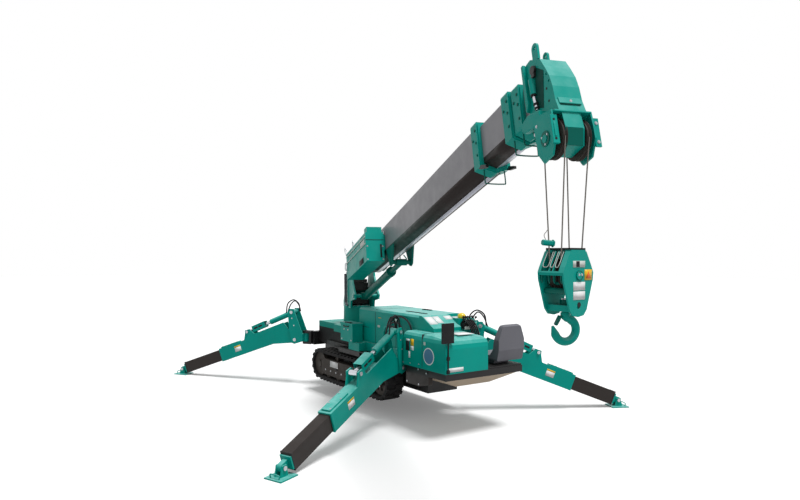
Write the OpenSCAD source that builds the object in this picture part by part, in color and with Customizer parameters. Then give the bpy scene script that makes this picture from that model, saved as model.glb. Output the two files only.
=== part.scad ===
/* [Stance] */
// Shift of the whole machine along its length, so that it sits about the origin
shift_x = 880; // [0:10:2000]
// Height of the track soles above the ground while the outriggers carry the machine
track_lift = 240; // [100:5:400]

/* [Tracks] */
// Overall length of each rubber track
track_length = 2400; // [1800:10:3000]
// Width of each rubber track
track_width = 285; // [200:5:350]
// Overall height of each rubber track, lugs included
track_height = 520; // [400:5:600]
// Distance between the middles of the two tracks
track_gauge = 1095; // [900:5:1300]
// Thickness of the rubber belt without its lugs
belt_thickness = 40; // [25:1:60]
// Height of the rubber lugs
lug_height = 22; // [10:1:30]
// Lugs on each straight run of a track
lug_run = 17; // [10:1:24]
// Running gap between the belt and its wheels
belt_gap = 0.8; // [0.5:0.1:1]

/* [Chassis] */
// Half width of the centre frame between the tracks
frame_half = 270; // [200:5:350]
// Height of the deck's top above the ground
deck_top = 870; // [800:5:950]
// Thickness of the deck plate
deck_thick = 80; // [40:5:100]
// Gap left between fixed pieces that seat on each other
seat_gap = 0.3; // [0.1:0.1:0.5]
// Depth of the swing pins' forks behind the pins
fork_deep = 118; // [90:1:150]

/* [Covers] */
// Half width of the engine hood on its left side
hood_left = 465; // [350:5:520]
// Height of the engine hood's top above the ground
hood_top = 1540; // [1300:5:1700]
// Height of the hood's lower edge above the ground
hood_low = 990; // [900:5:1100]
// Front end of the hood, measured along the machine
hood_front = -40; // [-200:5:100]
// Rear end of the hood, measured along the machine
hood_rear = -1640; // [-1800:5:-1400]
// Rear face of the machine, measured along the machine
tail_face = -2500; // [-2700:5:-2300]
// Half width of the body
body_half = 690; // [600:5:750]
// Height of the rear cover's top at its front edge
cover_top = 1340; // [1200:5:1450]
// Height of the skirt's lower edge above the ground
skirt_low = 790; // [700:5:850]

/* [Slewing post] */
// Position of the slewing axis along the machine
post_x = 766; // [600:2:900]
// Radius of the fixed column below the slewing post
column_r = 255; // [200:5:320]
// Height of the slewing joint above the ground
slew_z = 1470; // [1300:5:1600]
// Running gap at the slewing joint
slew_gap = 0.5; // [0.3:0.1:0.8]
// Outside width over the two post plates
post_width = 430; // [360:5:500]
// Thickness of each post plate
post_plate = 30; // [20:1:40]
// Azimuth of the boom in the stored pose
boom_azimuth = 161.9; // [90:0.1:200]

/* [Boom] */
// Height of the boom's foot pin above the ground
foot_z = 2233; // [2000:1:2500]
// Distance of the foot pin ahead of the slewing axis
foot_x = 180; // [100:5:400]
// Elevation of the boom in the stored pose
boom_rise = 14; // [0:0.1:60]
// Width of the base section
base_width = 260; // [200:2:320]
// Height of the base section's top above the foot pin
base_top = 60; // [0:2:200]
// Height of the base section's side walls
base_side = 385; // [300:5:450]
// Depth of the base section's bottom fold
base_fold = 45; // [20:1:100]
// Wall thickness of every boom section
wall = 8; // [4:1:12]
// Clearance between one boom section and the next one inside it
slide_gap = 8; // [5:1:12]
// Running clearance of wear pads and bushes
run_gap = 0.5; // [0.3:0.1:0.8]
// Front end of the base section, measured from the foot pin
base_end = 5322; // [4500:2:6000]
// Amount by which the second section stands out of the first in the stored pose
step_2 = 600; // [200:5:900]
// Amount by which the third section stands out of the second
step_3 = 150; // [60:5:300]
// Amount by which the fourth section stands out of the third
step_4 = 130; // [60:5:300]
// Length of each boom collar
collar_long = 120; // [60:5:200]
// Thickness of the boom collars around a section
collar_thick = 22; // [12:1:40]

/* [Luffing cylinder] */
// Distance of the luffing cylinder's lower pin ahead of the slewing axis
ram_lo_x = 600; // [400:5:800]
// Height of the luffing cylinder's lower pin above the ground
ram_lo_z = 1700; // [1650:5:1900]
// Distance of the rod's eye from the foot pin, along the boom
eye_d = 2322; // [1800:2:2800]
// Height of the rod's eye over the foot pin's line, square to the boom
eye_up = -520; // [-600:5:-400]
// Radius of the luffing cylinder's barrel
luff_r = 64; // [50:1:90]
// Radius of the luffing cylinder's rod
luff_rod_r = 38; // [25:1:60]
// Length of the luffing cylinder's barrel
luff_barrel_len = 1560; // [1200:10:1900]
// Radius of the luffing cylinder's pins
luff_pin_r = 30; // [20:1:40]

/* [Boom head] */
// Distance of the head sheaves' axis ahead of the fourth section's end
head_reach = 238; // [200:2:300]
// Depth of the head sheaves' axis below the foot pin's line
head_drop = 580; // [540:5:620]
// Radius of the head sheaves
sheave_r = 150; // [100:2:200]
// Width over the two head cheeks
head_width = 220; // [200:5:260]
// Half width of the sheave housing below the head
housing_half = 165; // [150:5:190]
// Distance of each head sheave from the boom's middle
sheave_y = 95; // [85:5:105]
// Radius of the holes in the lifting eyes
lift_eye_r = 18; // [12:1:24]

/* [Hook block] */
// Height of the block's own axis above the ground
block_z = 2250; // [2000:5:2500]
// Width over the block's two cheek plates
block_width = 226; // [180:5:300]
// Turn of the hook block under the head
block_turn = -70; // [-90:5:0]
// Height of the hook's bowl below the block's axle
hook_low = 395; // [370:5:430]
// Radius of the block's sheaves
block_sheave_r = 118; // [100:2:180]
// Radius of the hoisting rope
rope_r = 5; // [4:0.5:10]
// Gap between a fall and the bottom of its sheave's groove
rope_gap = 0.9; // [0.5:0.1:0.9]
// Distance of each block sheave from the block's middle
block_sheave_y = 45; // [42:1:48]
// Radius of the hook's round bar
hook_bar = 30; // [20:1:45]
// Radius of the hook's throat
hook_throat = 57; // [40:1:90]

/* [Outriggers] */
// Height of the arm's hinge pin above the ground
arm_z = 820; // [700:5:950]
// Distance of the arm's hinge pin from the swing pin
arm_s = 180; // [120:5:250]
// Distance of the cylinder's upper pin from the swing pin
ram_s = 250; // [180:5:320]
// Height of the cylinder's upper pin above the ground
ram_z = 1320; // [1200:5:1450]
// Height of the box's middle line over the hinge pin, square to the box
box_up = 183; // [100:1:250]
// Height of the green arm box
arm_high = 250; // [200:5:300]
// Width of the green arm box
arm_wide = 190; // [150:5:240]
// Wall of the green arm box
arm_wall = 12; // [6:1:20]
// Gap between the arm box and the inner box
box_gap = 7; // [5:1:12]
// Height of the foot's pin above the ground
foot_pin_z = 105; // [80:5:150]
// Length of the foot's sole
pad_long = 280; // [200:5:350]
// Width of the foot's sole
pad_wide = 240; // [150:5:350]
// Length of the rear arms from the hinge to their open ends
reach_rear = 1630; // [1200:5:1700]
// Length of the front arms from the hinge to their open ends
reach_front = 1630; // [1200:5:1900]
// Swing pin of the rear outriggers along the machine
swing_rear_x = -1366; // [-1500:2:-1200]
// Distance of the rear swing pins inside the body's sides
swing_inset = 130; // [110:2:160]
// Swing pin of the front outriggers along the machine
swing_front_x = 1680; // [1500:2:1900]
// Swing pin of the front outriggers across the machine
swing_front_y = 560; // [350:2:650]
// Rear foot along the machine
foot_rear_x = -2420; // [-2700:5:-2200]
// Rear foot across the machine
foot_rear_y = 2892; // [2500:2:3200]
// Front foot along the machine
foot_front_x = 3790; // [3300:5:4000]
// Front foot across the machine
foot_front_y = 2220; // [1900:5:2700]
// Distance of the rod's eye from the arm's hinge, along the arm
eye_x = 922; // [860:2:980]
// Height of the rod's eye over the arm's hinge, square to the arm
eye_z = 435; // [420:1:450]
// Half width of the rod's eye
eye_half = 60; // [54:1:66]
// Gap between the rod's eye and the stubs that face it
eye_stub = 4; // [2:0.5:6]
// Radius of the hinge pins
pin_r = 20; // [14:1:30]
// Running clearance of pins in their bores
pin_gap = 0.1; // [0.05:0.01:0.1]

/* [Hidden] */
$fn = 32;
track_y = track_gauge / 2;
track_z = track_lift + track_height / 2;
belt_r = track_height / 2 - lug_height;
belt_in = belt_r - belt_thickness;
straight = track_length / 2 - track_height / 2;
post_z = slew_z + slew_gap;
beam_front = 1480;
deck_rear = hood_rear + 20;
platform_top = 878;
mirror_y = body_half - 30;
swing_rear_y = body_half - swing_inset;
deck_half = swing_rear_y - fork_deep - seat_gap;
swing_pin_r = pin_r + 6;
luff_eye_x = foot_x + eye_d * cos(boom_rise) - eye_up * sin(boom_rise);
luff_eye_z = foot_z + eye_d * sin(boom_rise) + eye_up * cos(boom_rise);
luff_len = sqrt(pow(luff_eye_x - ram_lo_x, 2) + pow(luff_eye_z - ram_lo_z, 2));
luff_angle = atan2(luff_eye_z - ram_lo_z, luff_eye_x - ram_lo_x);
end_2 = base_end + step_2;
end_3 = end_2 + step_3;
end_4 = end_3 + step_4;
axle_d = end_4 + head_reach;
head_x = foot_x + axle_d * cos(boom_rise) + head_drop * sin(boom_rise);
head_z = foot_z + axle_d * sin(boom_rise) - head_drop * cos(boom_rise);
fall_top = sheave_r - 14 + rope_r + rope_gap;
fall_low = block_sheave_r - 14 + rope_r + rope_gap;
block_half = [[90, 172], [150, 62], [169, 20], [165, -30], [95, -245], [60, -285], [0, -295]];
block_outline = concat(block_half, [for (i = [5 : -1 : 0]) [-block_half[i][0], block_half[i][1]]]);
sp_rear = foot_dist(swing_rear_x, swing_rear_y, foot_rear_x, foot_rear_y);
sp_front = foot_dist(swing_front_x, swing_front_y, foot_front_x, foot_front_y);

green = [0.05, 0.55, 0.50];
dark_green = [0.02, 0.35, 0.32];
grey = [0.42, 0.42, 0.44];
black = [0.10, 0.10, 0.10];
steel = [0.65, 0.66, 0.68];

// A box between two corners
module slab(x0, x1, y0, y1, z0, z1) {
  translate([x0, y0, z0]) cube([x1 - x0, y1 - y0, z1 - z0]);
}

// A round bar across the machine
module bar_y(x, z, r, y0, y1) {
  translate([x, y0, z]) rotate([-90, 0, 0]) cylinder(r = r, h = y1 - y0);
}

// A profile in length and height, given a thickness across
module side_plate(points, y0, y1) {
  translate([0, y1, 0]) rotate([90, 0, 0]) linear_extrude(height = y1 - y0) polygon(points);
}

module place() {
  translate([shift_x, 0, 0]) children();
}

// Track belt outline in length and height
module loop_shape(r) {
  hull() {
    translate([-straight, 0]) circle(r = r, $fn = 48);
    translate([straight, 0]) circle(r = r, $fn = 48);
  }
}

module lug(half) {
  slab(-24, 24, half > 0 ? 0 : -track_width / 2, half > 0 ? track_width / 2 : 0, belt_r - 4, belt_r + lug_height);
}

module track(side) {
  pitch = 2 * straight / lug_run;
  turn = 180 / 7;
  translate([0, side * track_y, track_z]) {
    translate([0, track_width / 2, 0]) rotate([90, 0, 0]) linear_extrude(height = track_width) difference() {
      loop_shape(belt_r);
      loop_shape(belt_in);
    }
    for (half = [-1, 1]) {
      off = half > 0 ? 0 : 0.5;
      for (i = [0 : lug_run - 1]) {
        translate([-straight + (i + 0.25 + off) * pitch, 0, 0]) lug(half);
        translate([straight - (i + 0.25 + off) * pitch, 0, 0]) rotate([0, 180, 0]) lug(-half);
      }
      for (i = [0 : 6]) {
        translate([straight, 0, 0]) rotate([0, (i + 0.25 + off) * turn, 0]) lug(half);
        translate([-straight, 0, 0]) rotate([0, 180 + (i + 0.25 + off) * turn, 0]) lug(-half);
      }
    }
  }
}

module track_frame(side) {
  wheel_r = belt_in - belt_gap;
  translate([0, side * track_y, track_z]) {
    difference() {
      slab(-straight, straight, -60, 60, -105, 105);
      for (i = [0 : 2]) {
        translate([-460 + i * 380, 0, -20]) slab(0, 150, -70, 70, -25, 25);
      }
    }
    bar_y(straight, 0, wheel_r, -105, 105);
    difference() {
      bar_y(-straight, 0, wheel_r - 16, -105, 105);
      for (i = [0 : 5]) {
        rotate([0, 0, 0]) translate([-straight + 105 * cos(i * 60), 0, 105 * sin(i * 60)]) bar_y(0, 0, 26, -120, -60);
        translate([-straight + 105 * cos(i * 60), 0, 105 * sin(i * 60)]) bar_y(0, 0, 26, 60, 120);
      }
    }
    for (i = [0 : 13]) {
      translate([-straight, 0, 0]) rotate([0, i * 360 / 14, 0]) slab(-16, 16, -34, 34, wheel_r - 40, wheel_r - 2);
    }
    for (i = [-2 : 2]) {
      bar_y(i * 330, -belt_in + belt_gap + 68, 68, -100, 100);
    }
    for (i = [-1, 1]) {
      bar_y(i * 420, belt_in - belt_gap - 44, 44, -70, 70);
    }
    bar_y(straight, 0, 60, -128, 128);
    bar_y(-straight, 0, 75, -128, 128);
  }
}

module track_left() {
  color(black) place() track(1);
}
module track_right() {
  color(black) place() track(-1);
}
module track_frame_left() {
  color([0.17, 0.16, 0.15]) place() track_frame(1);
}
module track_frame_right() {
  color([0.17, 0.16, 0.15]) place() track_frame(-1);
}

module chassis_frame() {
  color(black) place() {
    slab(-1600, beam_front, -frame_half, frame_half, 420, deck_top - deck_thick);
    slab(deck_rear, 1100, -deck_half, deck_half, deck_top - deck_thick, deck_top);
    slab(-330, 330, -(body_half - 50), body_half - 50, deck_top - deck_thick, deck_top);
    slab(swing_rear_x + 76, hood_front - 60, -260, 420, deck_top, hood_low - seat_gap);
    for (x = [-560, 560]) {
      slab(x - 60, x + 60, -(track_y - 60 - seat_gap), track_y - 60 - seat_gap, track_z - 70, track_z + 30);
    }
  }
}

// A fork on the chassis that holds one swing pin
module mount_fork(px, py, az) {
  translate([px, py, 0]) rotate([0, 0, az]) {
    for (z = [742, 942]) {
      slab(-fork_deep, 0, -70, 70, z, z + 40);
      translate([0, 0, z]) cylinder(r = 70, h = 40);
    }
    slab(-fork_deep, -82, -70, 70, 742, 982);
    translate([0, 0, 735]) cylinder(r = swing_pin_r, h = 254);
  }
}

module outrigger_mounts() {
  color(black) place() {
    for (s = [-1, 1]) {
      mount_fork(swing_rear_x, s * swing_rear_y, s * 90);
      mount_fork(swing_front_x, s * swing_front_y, s * 40);
    }
    slab(swing_rear_x - 75, swing_rear_x + 75, -(swing_rear_y - fork_deep + 1), swing_rear_y - fork_deep + 1,
      deck_top + seat_gap, 982);
    slab(beam_front + seat_gap, 1600, -(swing_front_y - 60), swing_front_y - 60, 742, 982);
  }
}

module engine_hood() {
  color(green) place() {
    translate([0, 0, 0]) intersection() {
      slab(hood_rear, hood_front, -300, hood_left, hood_low, hood_top);
      translate([hood_rear, 0, 0]) rotate([90, 0, 90]) linear_extrude(height = hood_front - hood_rear)
        polygon([[-300, hood_low], [hood_left, hood_low], [hood_left, hood_top - 30], [hood_left - 30, hood_top],
          [-270, hood_top], [-300, hood_top - 30]]);
    }
  }
}

module rear_cover() {
  color(green) place() difference() {
    translate([tail_face, 0, 0]) intersection() {
      rotate([90, 0, 90]) linear_extrude(height = 950)
        polygon([[-30, platform_top + seat_gap], [body_half, platform_top + seat_gap],
          [body_half, cover_top - 90], [body_half - 12, cover_top - 45],
          [body_half - 40, cover_top - 12], [body_half - 80, cover_top], [20, cover_top], [-15, cover_top - 25],
          [-30, cover_top - 70]]);
      translate([0, body_half + 1, 0]) rotate([90, 0, 0]) linear_extrude(height = 800)
        polygon([[0, platform_top + seat_gap], [920, platform_top + seat_gap], [920, cover_top], [430, cover_top], [90, cover_top - 30],
          [35, cover_top - 55], [8, cover_top - 95], [0, cover_top - 150]]);
    }
    slab(hood_rear - seat_gap, hood_rear + 200, -400, hood_left + seat_gap, 800, 1600);
  }
}

module control_console() {
  color(green) place() {
    side_plate([[hood_rear - seat_gap, cover_top + seat_gap], [hood_rear - seat_gap, hood_top],
      [hood_rear - 60, hood_top], [hood_rear - 330, cover_top + 50], [hood_rear - 330, cover_top + seat_gap]],
      -20, hood_left);
    slab(-1930, hood_rear - seat_gap, -300, -30 - seat_gap, platform_top + seat_gap, hood_top - 40);
    slab(-1930, hood_rear - seat_gap, -30 - seat_gap, -10, cover_top + seat_gap, hood_top - 40);
  }
}

module control_levers() {
  color(black) place() {
    slab(-2000, -1930 - seat_gap, -250, -40, 1360, 1440);
    for (i = [0 : 4]) {
      translate([-1967, -225 + i * 40, 1435]) cylinder(r = 5, h = 85, $fn = 12);
      translate([-1967, -225 + i * 40, 1525]) sphere(r = 15, $fn = 16);
    }
  }
}

module seat_platform() {
  color(black) place() {
    slab(tail_face + 10, deck_rear - seat_gap, -(body_half - 10), body_half - 10, skirt_low, platform_top);
    slab(tail_face + 20, -1935, -(body_half - 20), -50, platform_top - 1, 900);
  }
}

module belly_guard() {
  color([0.62, 0.58, 0.52]) place() {
    hull() {
      slab(tail_face + 60, -1620, -(body_half - 60), body_half - 60, skirt_low - 12, skirt_low - seat_gap);
      slab(tail_face + 260, -1640, -300, 300, 640, 650);
    }
  }
}

module seat() {
  color([0.33, 0.33, 0.36]) place() {
    slab(-2300, -2080, -600, -340, 900 + seat_gap, 951);
    intersection() {
      side_plate([[-2430, 950], [-2000, 950], [-1990, 990], [-2010, 1030], [-2290, 1020], [-2350, 1100],
        [-2400, 1430], [-2440, 1445], [-2470, 1420], [-2465, 1100]], -740, -260);
      translate([-2500, 0, 0]) rotate([90, 0, 90]) linear_extrude(height = 600) hull() {
        translate([-715, 975]) circle(r = 25);
        translate([-285, 975]) circle(r = 25);
        translate([-690, 1230]) circle(r = 50);
        translate([-310, 1230]) circle(r = 50);
        translate([-610, 1370]) circle(r = 75);
        translate([-390, 1370]) circle(r = 75);
      }
    }
  }
}

module storage_box() {
  color(green) place() {
    slab(-200, 172, 500, body_half, 1000, 1291);
    slab(-320, 0, 470, body_half - 50, deck_top + seat_gap, 1000);
  }
}

module service_tank() {
  color(dark_green) place() {
    slab(-1150, -100, -(body_half - 10), -310, 900, 1330);
    slab(-330, -100, -600, -310, deck_top + seat_gap, 900);
    slab(-1150, -900, -430, -310, deck_top + seat_gap, 900);
  }
}

module mirror() {
  color(black) place() {
    slab(tail_face - 24, tail_face - 2, mirror_y - 85, mirror_y + 105, cover_top - 65, cover_top + 190);
    translate([tail_face - 13, mirror_y, 890]) cylinder(r = 9, h = cover_top - 930, $fn = 16);
    for (z = [890, 1060]) {
      slab(tail_face - 22, tail_face - seat_gap, mirror_y - 20, mirror_y + 20, z, z + 45);
    }
  }
}

module slew_column() {
  color(dark_green) place() {
    translate([post_x, 0, 1180]) cylinder(r = column_r, h = slew_z - 1180, $fn = 48);
    slab(350, beam_front, -400, 400, deck_top + seat_gap, 1181);
    slab(1120, beam_front, -400, 400, 800, deck_top + 3);
    slab(350, 640, -swing_rear_y, swing_rear_y, 1080, 1200);
  }
}

// Turns a shape into the slewing post's frame
module on_post() {
  place() translate([post_x, 0, 0]) rotate([0, 0, boom_azimuth]) children();
}

// Turns a shape into the boom's frame, its origin on the foot pin
module on_boom() {
  on_post() translate([foot_x, 0, foot_z]) rotate([0, -boom_rise, 0]) children();
}

module post_plates() {
  color(dark_green) on_post() {
    difference() {
      for (s = [-1, 1]) {
        side_plate([[-240, post_z], [330, post_z], [360, 1600], [ram_lo_x + 60, ram_lo_z - 50],
          [ram_lo_x + 70, ram_lo_z + 30], [ram_lo_x, ram_lo_z + 85], [foot_x + 200, 2020],
          [foot_x + 90, foot_z + 60], [foot_x + 40, foot_z + 85], [foot_x - 40, foot_z + 85],
          [foot_x - 85, foot_z + 40], [-120, 1760], [-240, 1560]],
          s > 0 ? post_width / 2 - post_plate : -post_width / 2,
          s > 0 ? post_width / 2 : -post_width / 2 + post_plate);
      }
      bar_y(foot_x, foot_z, 40 + pin_gap, -300, 300);
      bar_y(ram_lo_x, ram_lo_z, luff_pin_r + pin_gap, -300, 300);
    }
    translate([0, 0, post_z]) cylinder(r = column_r, h = 30, $fn = 48);
    slab(-240, -215, -post_width / 2 + 5, post_width / 2 - 5, post_z, 1570);
    side_plate([[-225, 1540], [-195, 1530], [-20, 1800], [-50, 1815]], -post_width / 2 + 5, post_width / 2 - 5);
    bar_y(ram_lo_x, ram_lo_z, luff_pin_r, -post_width / 2 - 12, post_width / 2 + 12);
    bar_y(foot_x, foot_z, 40, -post_width / 2 - 15, post_width / 2 + 15);
  }
}

module swivel_gear() {
  color(black) on_post() {
    translate([0, 0, post_z + 30 + seat_gap]) cylinder(r = 85, h = 150);
    slab(-80, 150, -150, 150, post_z + 60, post_z + 130);
    slab(-40, 110, -130, 130, post_z + 130, post_z + 250);
  }
}

// Boom section outline in width and height
function boom_outline(w, t, s, f) = [[-w / 2, t], [w / 2, t], [w / 2, t - s], [0, t - s - f], [-w / 2, t - s]];

module boom_tube(k, d0, d1, thick) {
  inset = k * (wall + slide_gap);
  w = base_width - 2 * inset;
  translate([d0, 0, 0]) rotate([90, 0, 90]) linear_extrude(height = d1 - d0) difference() {
    polygon(boom_outline(w, base_top - inset, base_side - 1.7 * inset, base_fold));
    polygon(boom_outline(w - 2 * thick, base_top - inset - thick, base_side - 1.7 * inset - 1.7 * thick, base_fold));
  }
}

// Wear pads around a section's tail, running in the section outside it
module tail_pads(k, d0) {
  inset = k * (wall + slide_gap);
  w = base_width / 2 - inset;
  pad = slide_gap - run_gap;
  for (s = [-1, 1]) {
    slab(d0, d0 + 100, s > 0 ? w - 1 : -w - pad, s > 0 ? w + pad : -w + 1, -150, -20);
    slab(d0, d0 + 100, s > 0 ? 20 : -70, s > 0 ? 70 : -20, base_top - inset - 1, base_top - inset + pad);
  }
}

// Lip in front of a section that holds the next one
module lip(k, d1) {
  inset = k * (wall + slide_gap);
  w = base_width - 2 * inset;
  step = wall + slide_gap;
  difference() {
    translate([d1 + seat_gap, 0, 0]) rotate([90, 0, 90]) linear_extrude(height = 14)
      polygon(boom_outline(w + 20, base_top - inset + 12, base_side - 1.7 * inset + 30, base_fold));
    translate([d1 - 1, 0, 0]) rotate([90, 0, 90]) linear_extrude(height = 30)
      polygon(boom_outline(w - 2 * step + 2 * run_gap, base_top - inset - step + run_gap,
        base_side - 1.7 * (inset + step) + 2 * run_gap, base_fold));
  }
  translate([d1 - 2, 0, base_top - inset + 6]) slab(0, 6, -60, 60, 0, 12);
}

module collar(k, d1) {
  inset = k * (wall + slide_gap);
  w = base_width - 2 * inset;
  out = w / 2 + collar_thick;
  top = base_top - inset + collar_thick;
  low = base_top - base_side + 0.7 * inset - 20;
  difference() {
    translate([d1 - collar_long, 0, 0]) rotate([90, 0, 90]) linear_extrude(height = collar_long)
      polygon([[6 - out, top + 14], [out - 6, top + 14], [out, top], [out, low], [0, low - base_fold - collar_thick + 12],
        [-out, low], [-out, top]]);
    translate([d1 - collar_long - 1, 0, 0]) rotate([90, 0, 90]) linear_extrude(height = collar_long + 2)
      polygon(boom_outline(w + 1, base_top - inset + 0.5, base_side - 1.7 * inset + 1, base_fold));
  }
}

module boom_section_1() {
  color(grey) on_boom() difference() {
    boom_tube(0, 202, base_end, wall);
    side_plate([[100, -600], [1000, -600], [1000, base_top - base_side - base_fold - 1],
      [800, base_top - base_side - 10], [202, -120], [100, -110]], -300, 300);
  }
}

module boom_tail() {
  w = base_width / 2;
  color(dark_green) on_boom() {
    difference() {
      for (s = [-1, 1]) {
        side_plate([[-70, -60], [0, -85], [80, -75], [900, -330], [1100, -325], [1100, -200], [500, 20],
          [60, 80], [-20, 85], [-70, 50]],
          s > 0 ? w + seat_gap : -w - 26, s > 0 ? w + 26 : -w - seat_gap);
      }
      bar_y(0, 0, 40 + pin_gap, -300, 300);
    }
    difference() {
      slab(120, 150, -w - 2, w + 2, -90, base_top);
      bar_y(0, 0, 40 + pin_gap, -300, 300);
    }
    for (s = [-1, 1]) {
      side_plate([[eye_d - 170, base_top - base_side + 20], [eye_d + 170, base_top - base_side + 20], [eye_d + 60, eye_up - 30],
        [eye_d, eye_up - 55], [eye_d - 60, eye_up - 30]], s > 0 ? w + seat_gap : -w - 21, s > 0 ? w + 21 : -w - seat_gap);
      bar_y(eye_d, eye_up, luff_pin_r, s > 0 ? 79 : -w - 34, s > 0 ? w + 34 : -79);
    }
  }
}

module winch_housing() {
  color(green) on_boom() {
    slab(772, 2072, -420, -base_width / 2 - 26 - seat_gap, -445, -28);
    slab(1200, 2000, -base_width / 2 - 27, -base_width / 2 - seat_gap, -290, -70);
    slab(1900, 2040, -390, -base_width / 2 - 40, -29, 60);
    slab(1300, 1800, -380, -base_width / 2 - 60, -29, 10);
  }
}

module boom_collar_1() {
  color(green) on_boom() {
    collar(0, base_end);
    lip(0, base_end);
  }
}

module luff_barrel() {
  L = luff_len;
  color(dark_green) on_luff() {
    difference() {
      union() {
        rotate([0, 90, 0]) cylinder(r = luff_r, h = luff_barrel_len);
        bar_y(0, 0, luff_r - 6, -90, 90);
        translate([luff_barrel_len - 70, 0, 0]) rotate([0, 90, 0]) cylinder(r = luff_r + 8, h = 70);
      }
      bar_y(0, 0, luff_pin_r + pin_gap, -300, 300);
      translate([120, 0, 0]) rotate([0, 90, 0]) cylinder(r = luff_rod_r + 0.5, h = luff_barrel_len);
    }
  }
}

module on_luff() {
  on_post() translate([ram_lo_x, 0, ram_lo_z]) rotate([0, -luff_angle, 0]) children();
}

module luff_rod() {
  color(steel) on_luff() {
    translate([luff_len - 1400, 0, 0]) rotate([0, 90, 0]) cylinder(r = luff_rod_r, h = 1380);
    translate([luff_len, 0, 0]) bar_y(0, 0, 45, -75, 75);
  }
}

module boom_section_2() {
  color(grey) on_boom() {
    boom_tube(1, 1400, end_2, wall);
    tail_pads(1, 1400);
  }
}
module boom_collar_2() {
  color(green) on_boom() {
    collar(1, end_2);
    lip(1, end_2);
  }
}
module boom_section_3() {
  color(grey) on_boom() {
    boom_tube(2, 1500, end_3, wall);
    tail_pads(2, 1500);
  }
}
module boom_collar_3() {
  color(green) on_boom() {
    collar(2, end_3);
    lip(2, end_3);
  }
}
module boom_section_4() {
  color(grey) on_boom() {
    boom_tube(3, 1600, end_4 + 150, wall);
    tail_pads(3, 1600);
  }
}

// Front cover of the head in length and height, from its top rear to its lower lip
function head_front(e) = [[e + 80, 152], [e + 213, 83], [e + 262, -10], [e + 305, -104], [e + 328, -200], [e + 340, -314],
  [e + 370, -420]];

// One cheek of the head
function head_cheek(e) = concat([[e - 20, 70], [e - 20, 132], [e + 20, 145]], head_front(e), [[e + 300, -430], [e + 140, -430],
  [e + 30, -372], [e - 20, -340]]);

// One outer plate of the sheave housing
function housing_plate(d, up) = [[d - 140, up + 190], [d - 60, up + 210], [d + 112, up + 176], [d + 126, up + 60], [d + 128, up - 30],
  [d + 60, up - 150], [d - 60, up - 166], [d - 120, up - 80]];

// A lifting eye that stands on the head
module lifting_eye(x, y, foot, high, wide) {
  translate([x, y, foot]) difference() {
    union() {
      slab(-wide, wide, -9, 9, 0, high);
      translate([0, -9, high]) rotate([-90, 0, 0]) cylinder(r = wide, h = 18);
    }
    translate([0, -20, high]) rotate([-90, 0, 0]) cylinder(r = lift_eye_r, h = 40);
  }
}

module boom_head() {
  h = head_width / 2;
  color(green) on_boom() {
    difference() {
      for (s = [-1, 1]) {
        side_plate(head_cheek(end_4), s > 0 ? h - 14 : -h, s > 0 ? h : -h + 14);
      }
      for (x = [end_4 + 268, end_4 + 290]) {
        bar_y(x, 730 - 3 * (x - end_4), 10, -200, 200);
      }
    }
    side_plate(concat(head_front(end_4), [[end_4 + 358, -422], [end_4 + 328, -314], [end_4 + 316, -200], [end_4 + 293, -104],
      [end_4 + 250, -4], [end_4 + 205, 75], [end_4 + 78, 140]]), -h, h);
    difference() {
      side_plate([[end_4 - 20, -340], [end_4 + 40, -340], [end_4 + 40, 70], [end_4 - 20, 70]], -h, h);
      translate([end_4 - 30, 0, 0]) rotate([90, 0, 90]) linear_extrude(height = 90)
        polygon(boom_outline(base_width - 6 * (wall + slide_gap) + 2 * seat_gap, base_top - 3 * (wall + slide_gap) + seat_gap,
          base_side - 5.1 * (wall + slide_gap) + 2 * seat_gap, base_fold));
    }
    slab(end_4 + 140, end_4 + 320, -housing_half, housing_half, -430, -410);
    lifting_eye(end_4 + 158, -h + 9, 100, 105, 40);
    lifting_eye(end_4 + 178, -30, 85, 45, 32);
    difference() {
      union() {
        for (s = [-1, 1]) {
          side_plate(housing_plate(axle_d, -head_drop), s > 0 ? housing_half - 14 : -housing_half,
            s > 0 ? housing_half : -housing_half + 14);
        }
        side_plate([[axle_d - 60, 180 - head_drop], [axle_d + 118, 168 - head_drop], [axle_d + 140, 30 - head_drop],
          [axle_d + 110, -90 - head_drop], [axle_d - 60, -110 - head_drop]], -sheave_y + 28, sheave_y - 28);
        slab(axle_d + 100, axle_d + 112, housing_half - 1, housing_half + 45, -head_drop - 90, -head_drop + 130);
      }
      bar_y(axle_d, -head_drop, 30 + seat_gap, -400, 400);
    }
    bar_y(axle_d, -head_drop, 30, -housing_half - 12, housing_half + 12);
  }
}

module sheave(r, half, bore) {
  rotate([90, 0, 0]) rotate_extrude($fn = 48) polygon([[bore, -half], [r, -half], [r, -half + 2], [r - 14, -6],
    [r - 14, 6], [r, half - 2], [r, half], [bore, half]]);
}

module head_sheaves() {
  color([0.2, 0.2, 0.21]) on_boom() {
    for (y = [-sheave_y, sheave_y]) {
      translate([axle_d, y, -head_drop]) sheave(sheave_r, 18, 30 + seat_gap);
    }
  }
}

module on_hook() {
  on_post() translate([head_x, 0, block_z]) children();
}

module on_block() {
  on_hook() rotate([0, 0, block_turn]) children();
}

// Where each fall meets the block, in the head's directions
function low_x(s, t) = s * fall_low * cos(block_turn) - t * block_sheave_y * sin(block_turn);
function low_y(s, t) = s * fall_low * sin(block_turn) + t * block_sheave_y * cos(block_turn);

// A fall leaves its sheave at a slant, and keeps the gap to the groove all along
module fall(s, y, u, t) {
  lean = (s * fall_top - low_x(u, t)) / (head_z - block_z);
  hull() {
    translate([head_x + s * fall_top * sqrt(1 + lean * lean), y, head_z]) cylinder(r = rope_r, h = 1, $fn = 16);
    translate([head_x + low_x(u, t), low_y(u, t), block_z]) cylinder(r = rope_r, h = 1, $fn = 16);
  }
}

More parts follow.
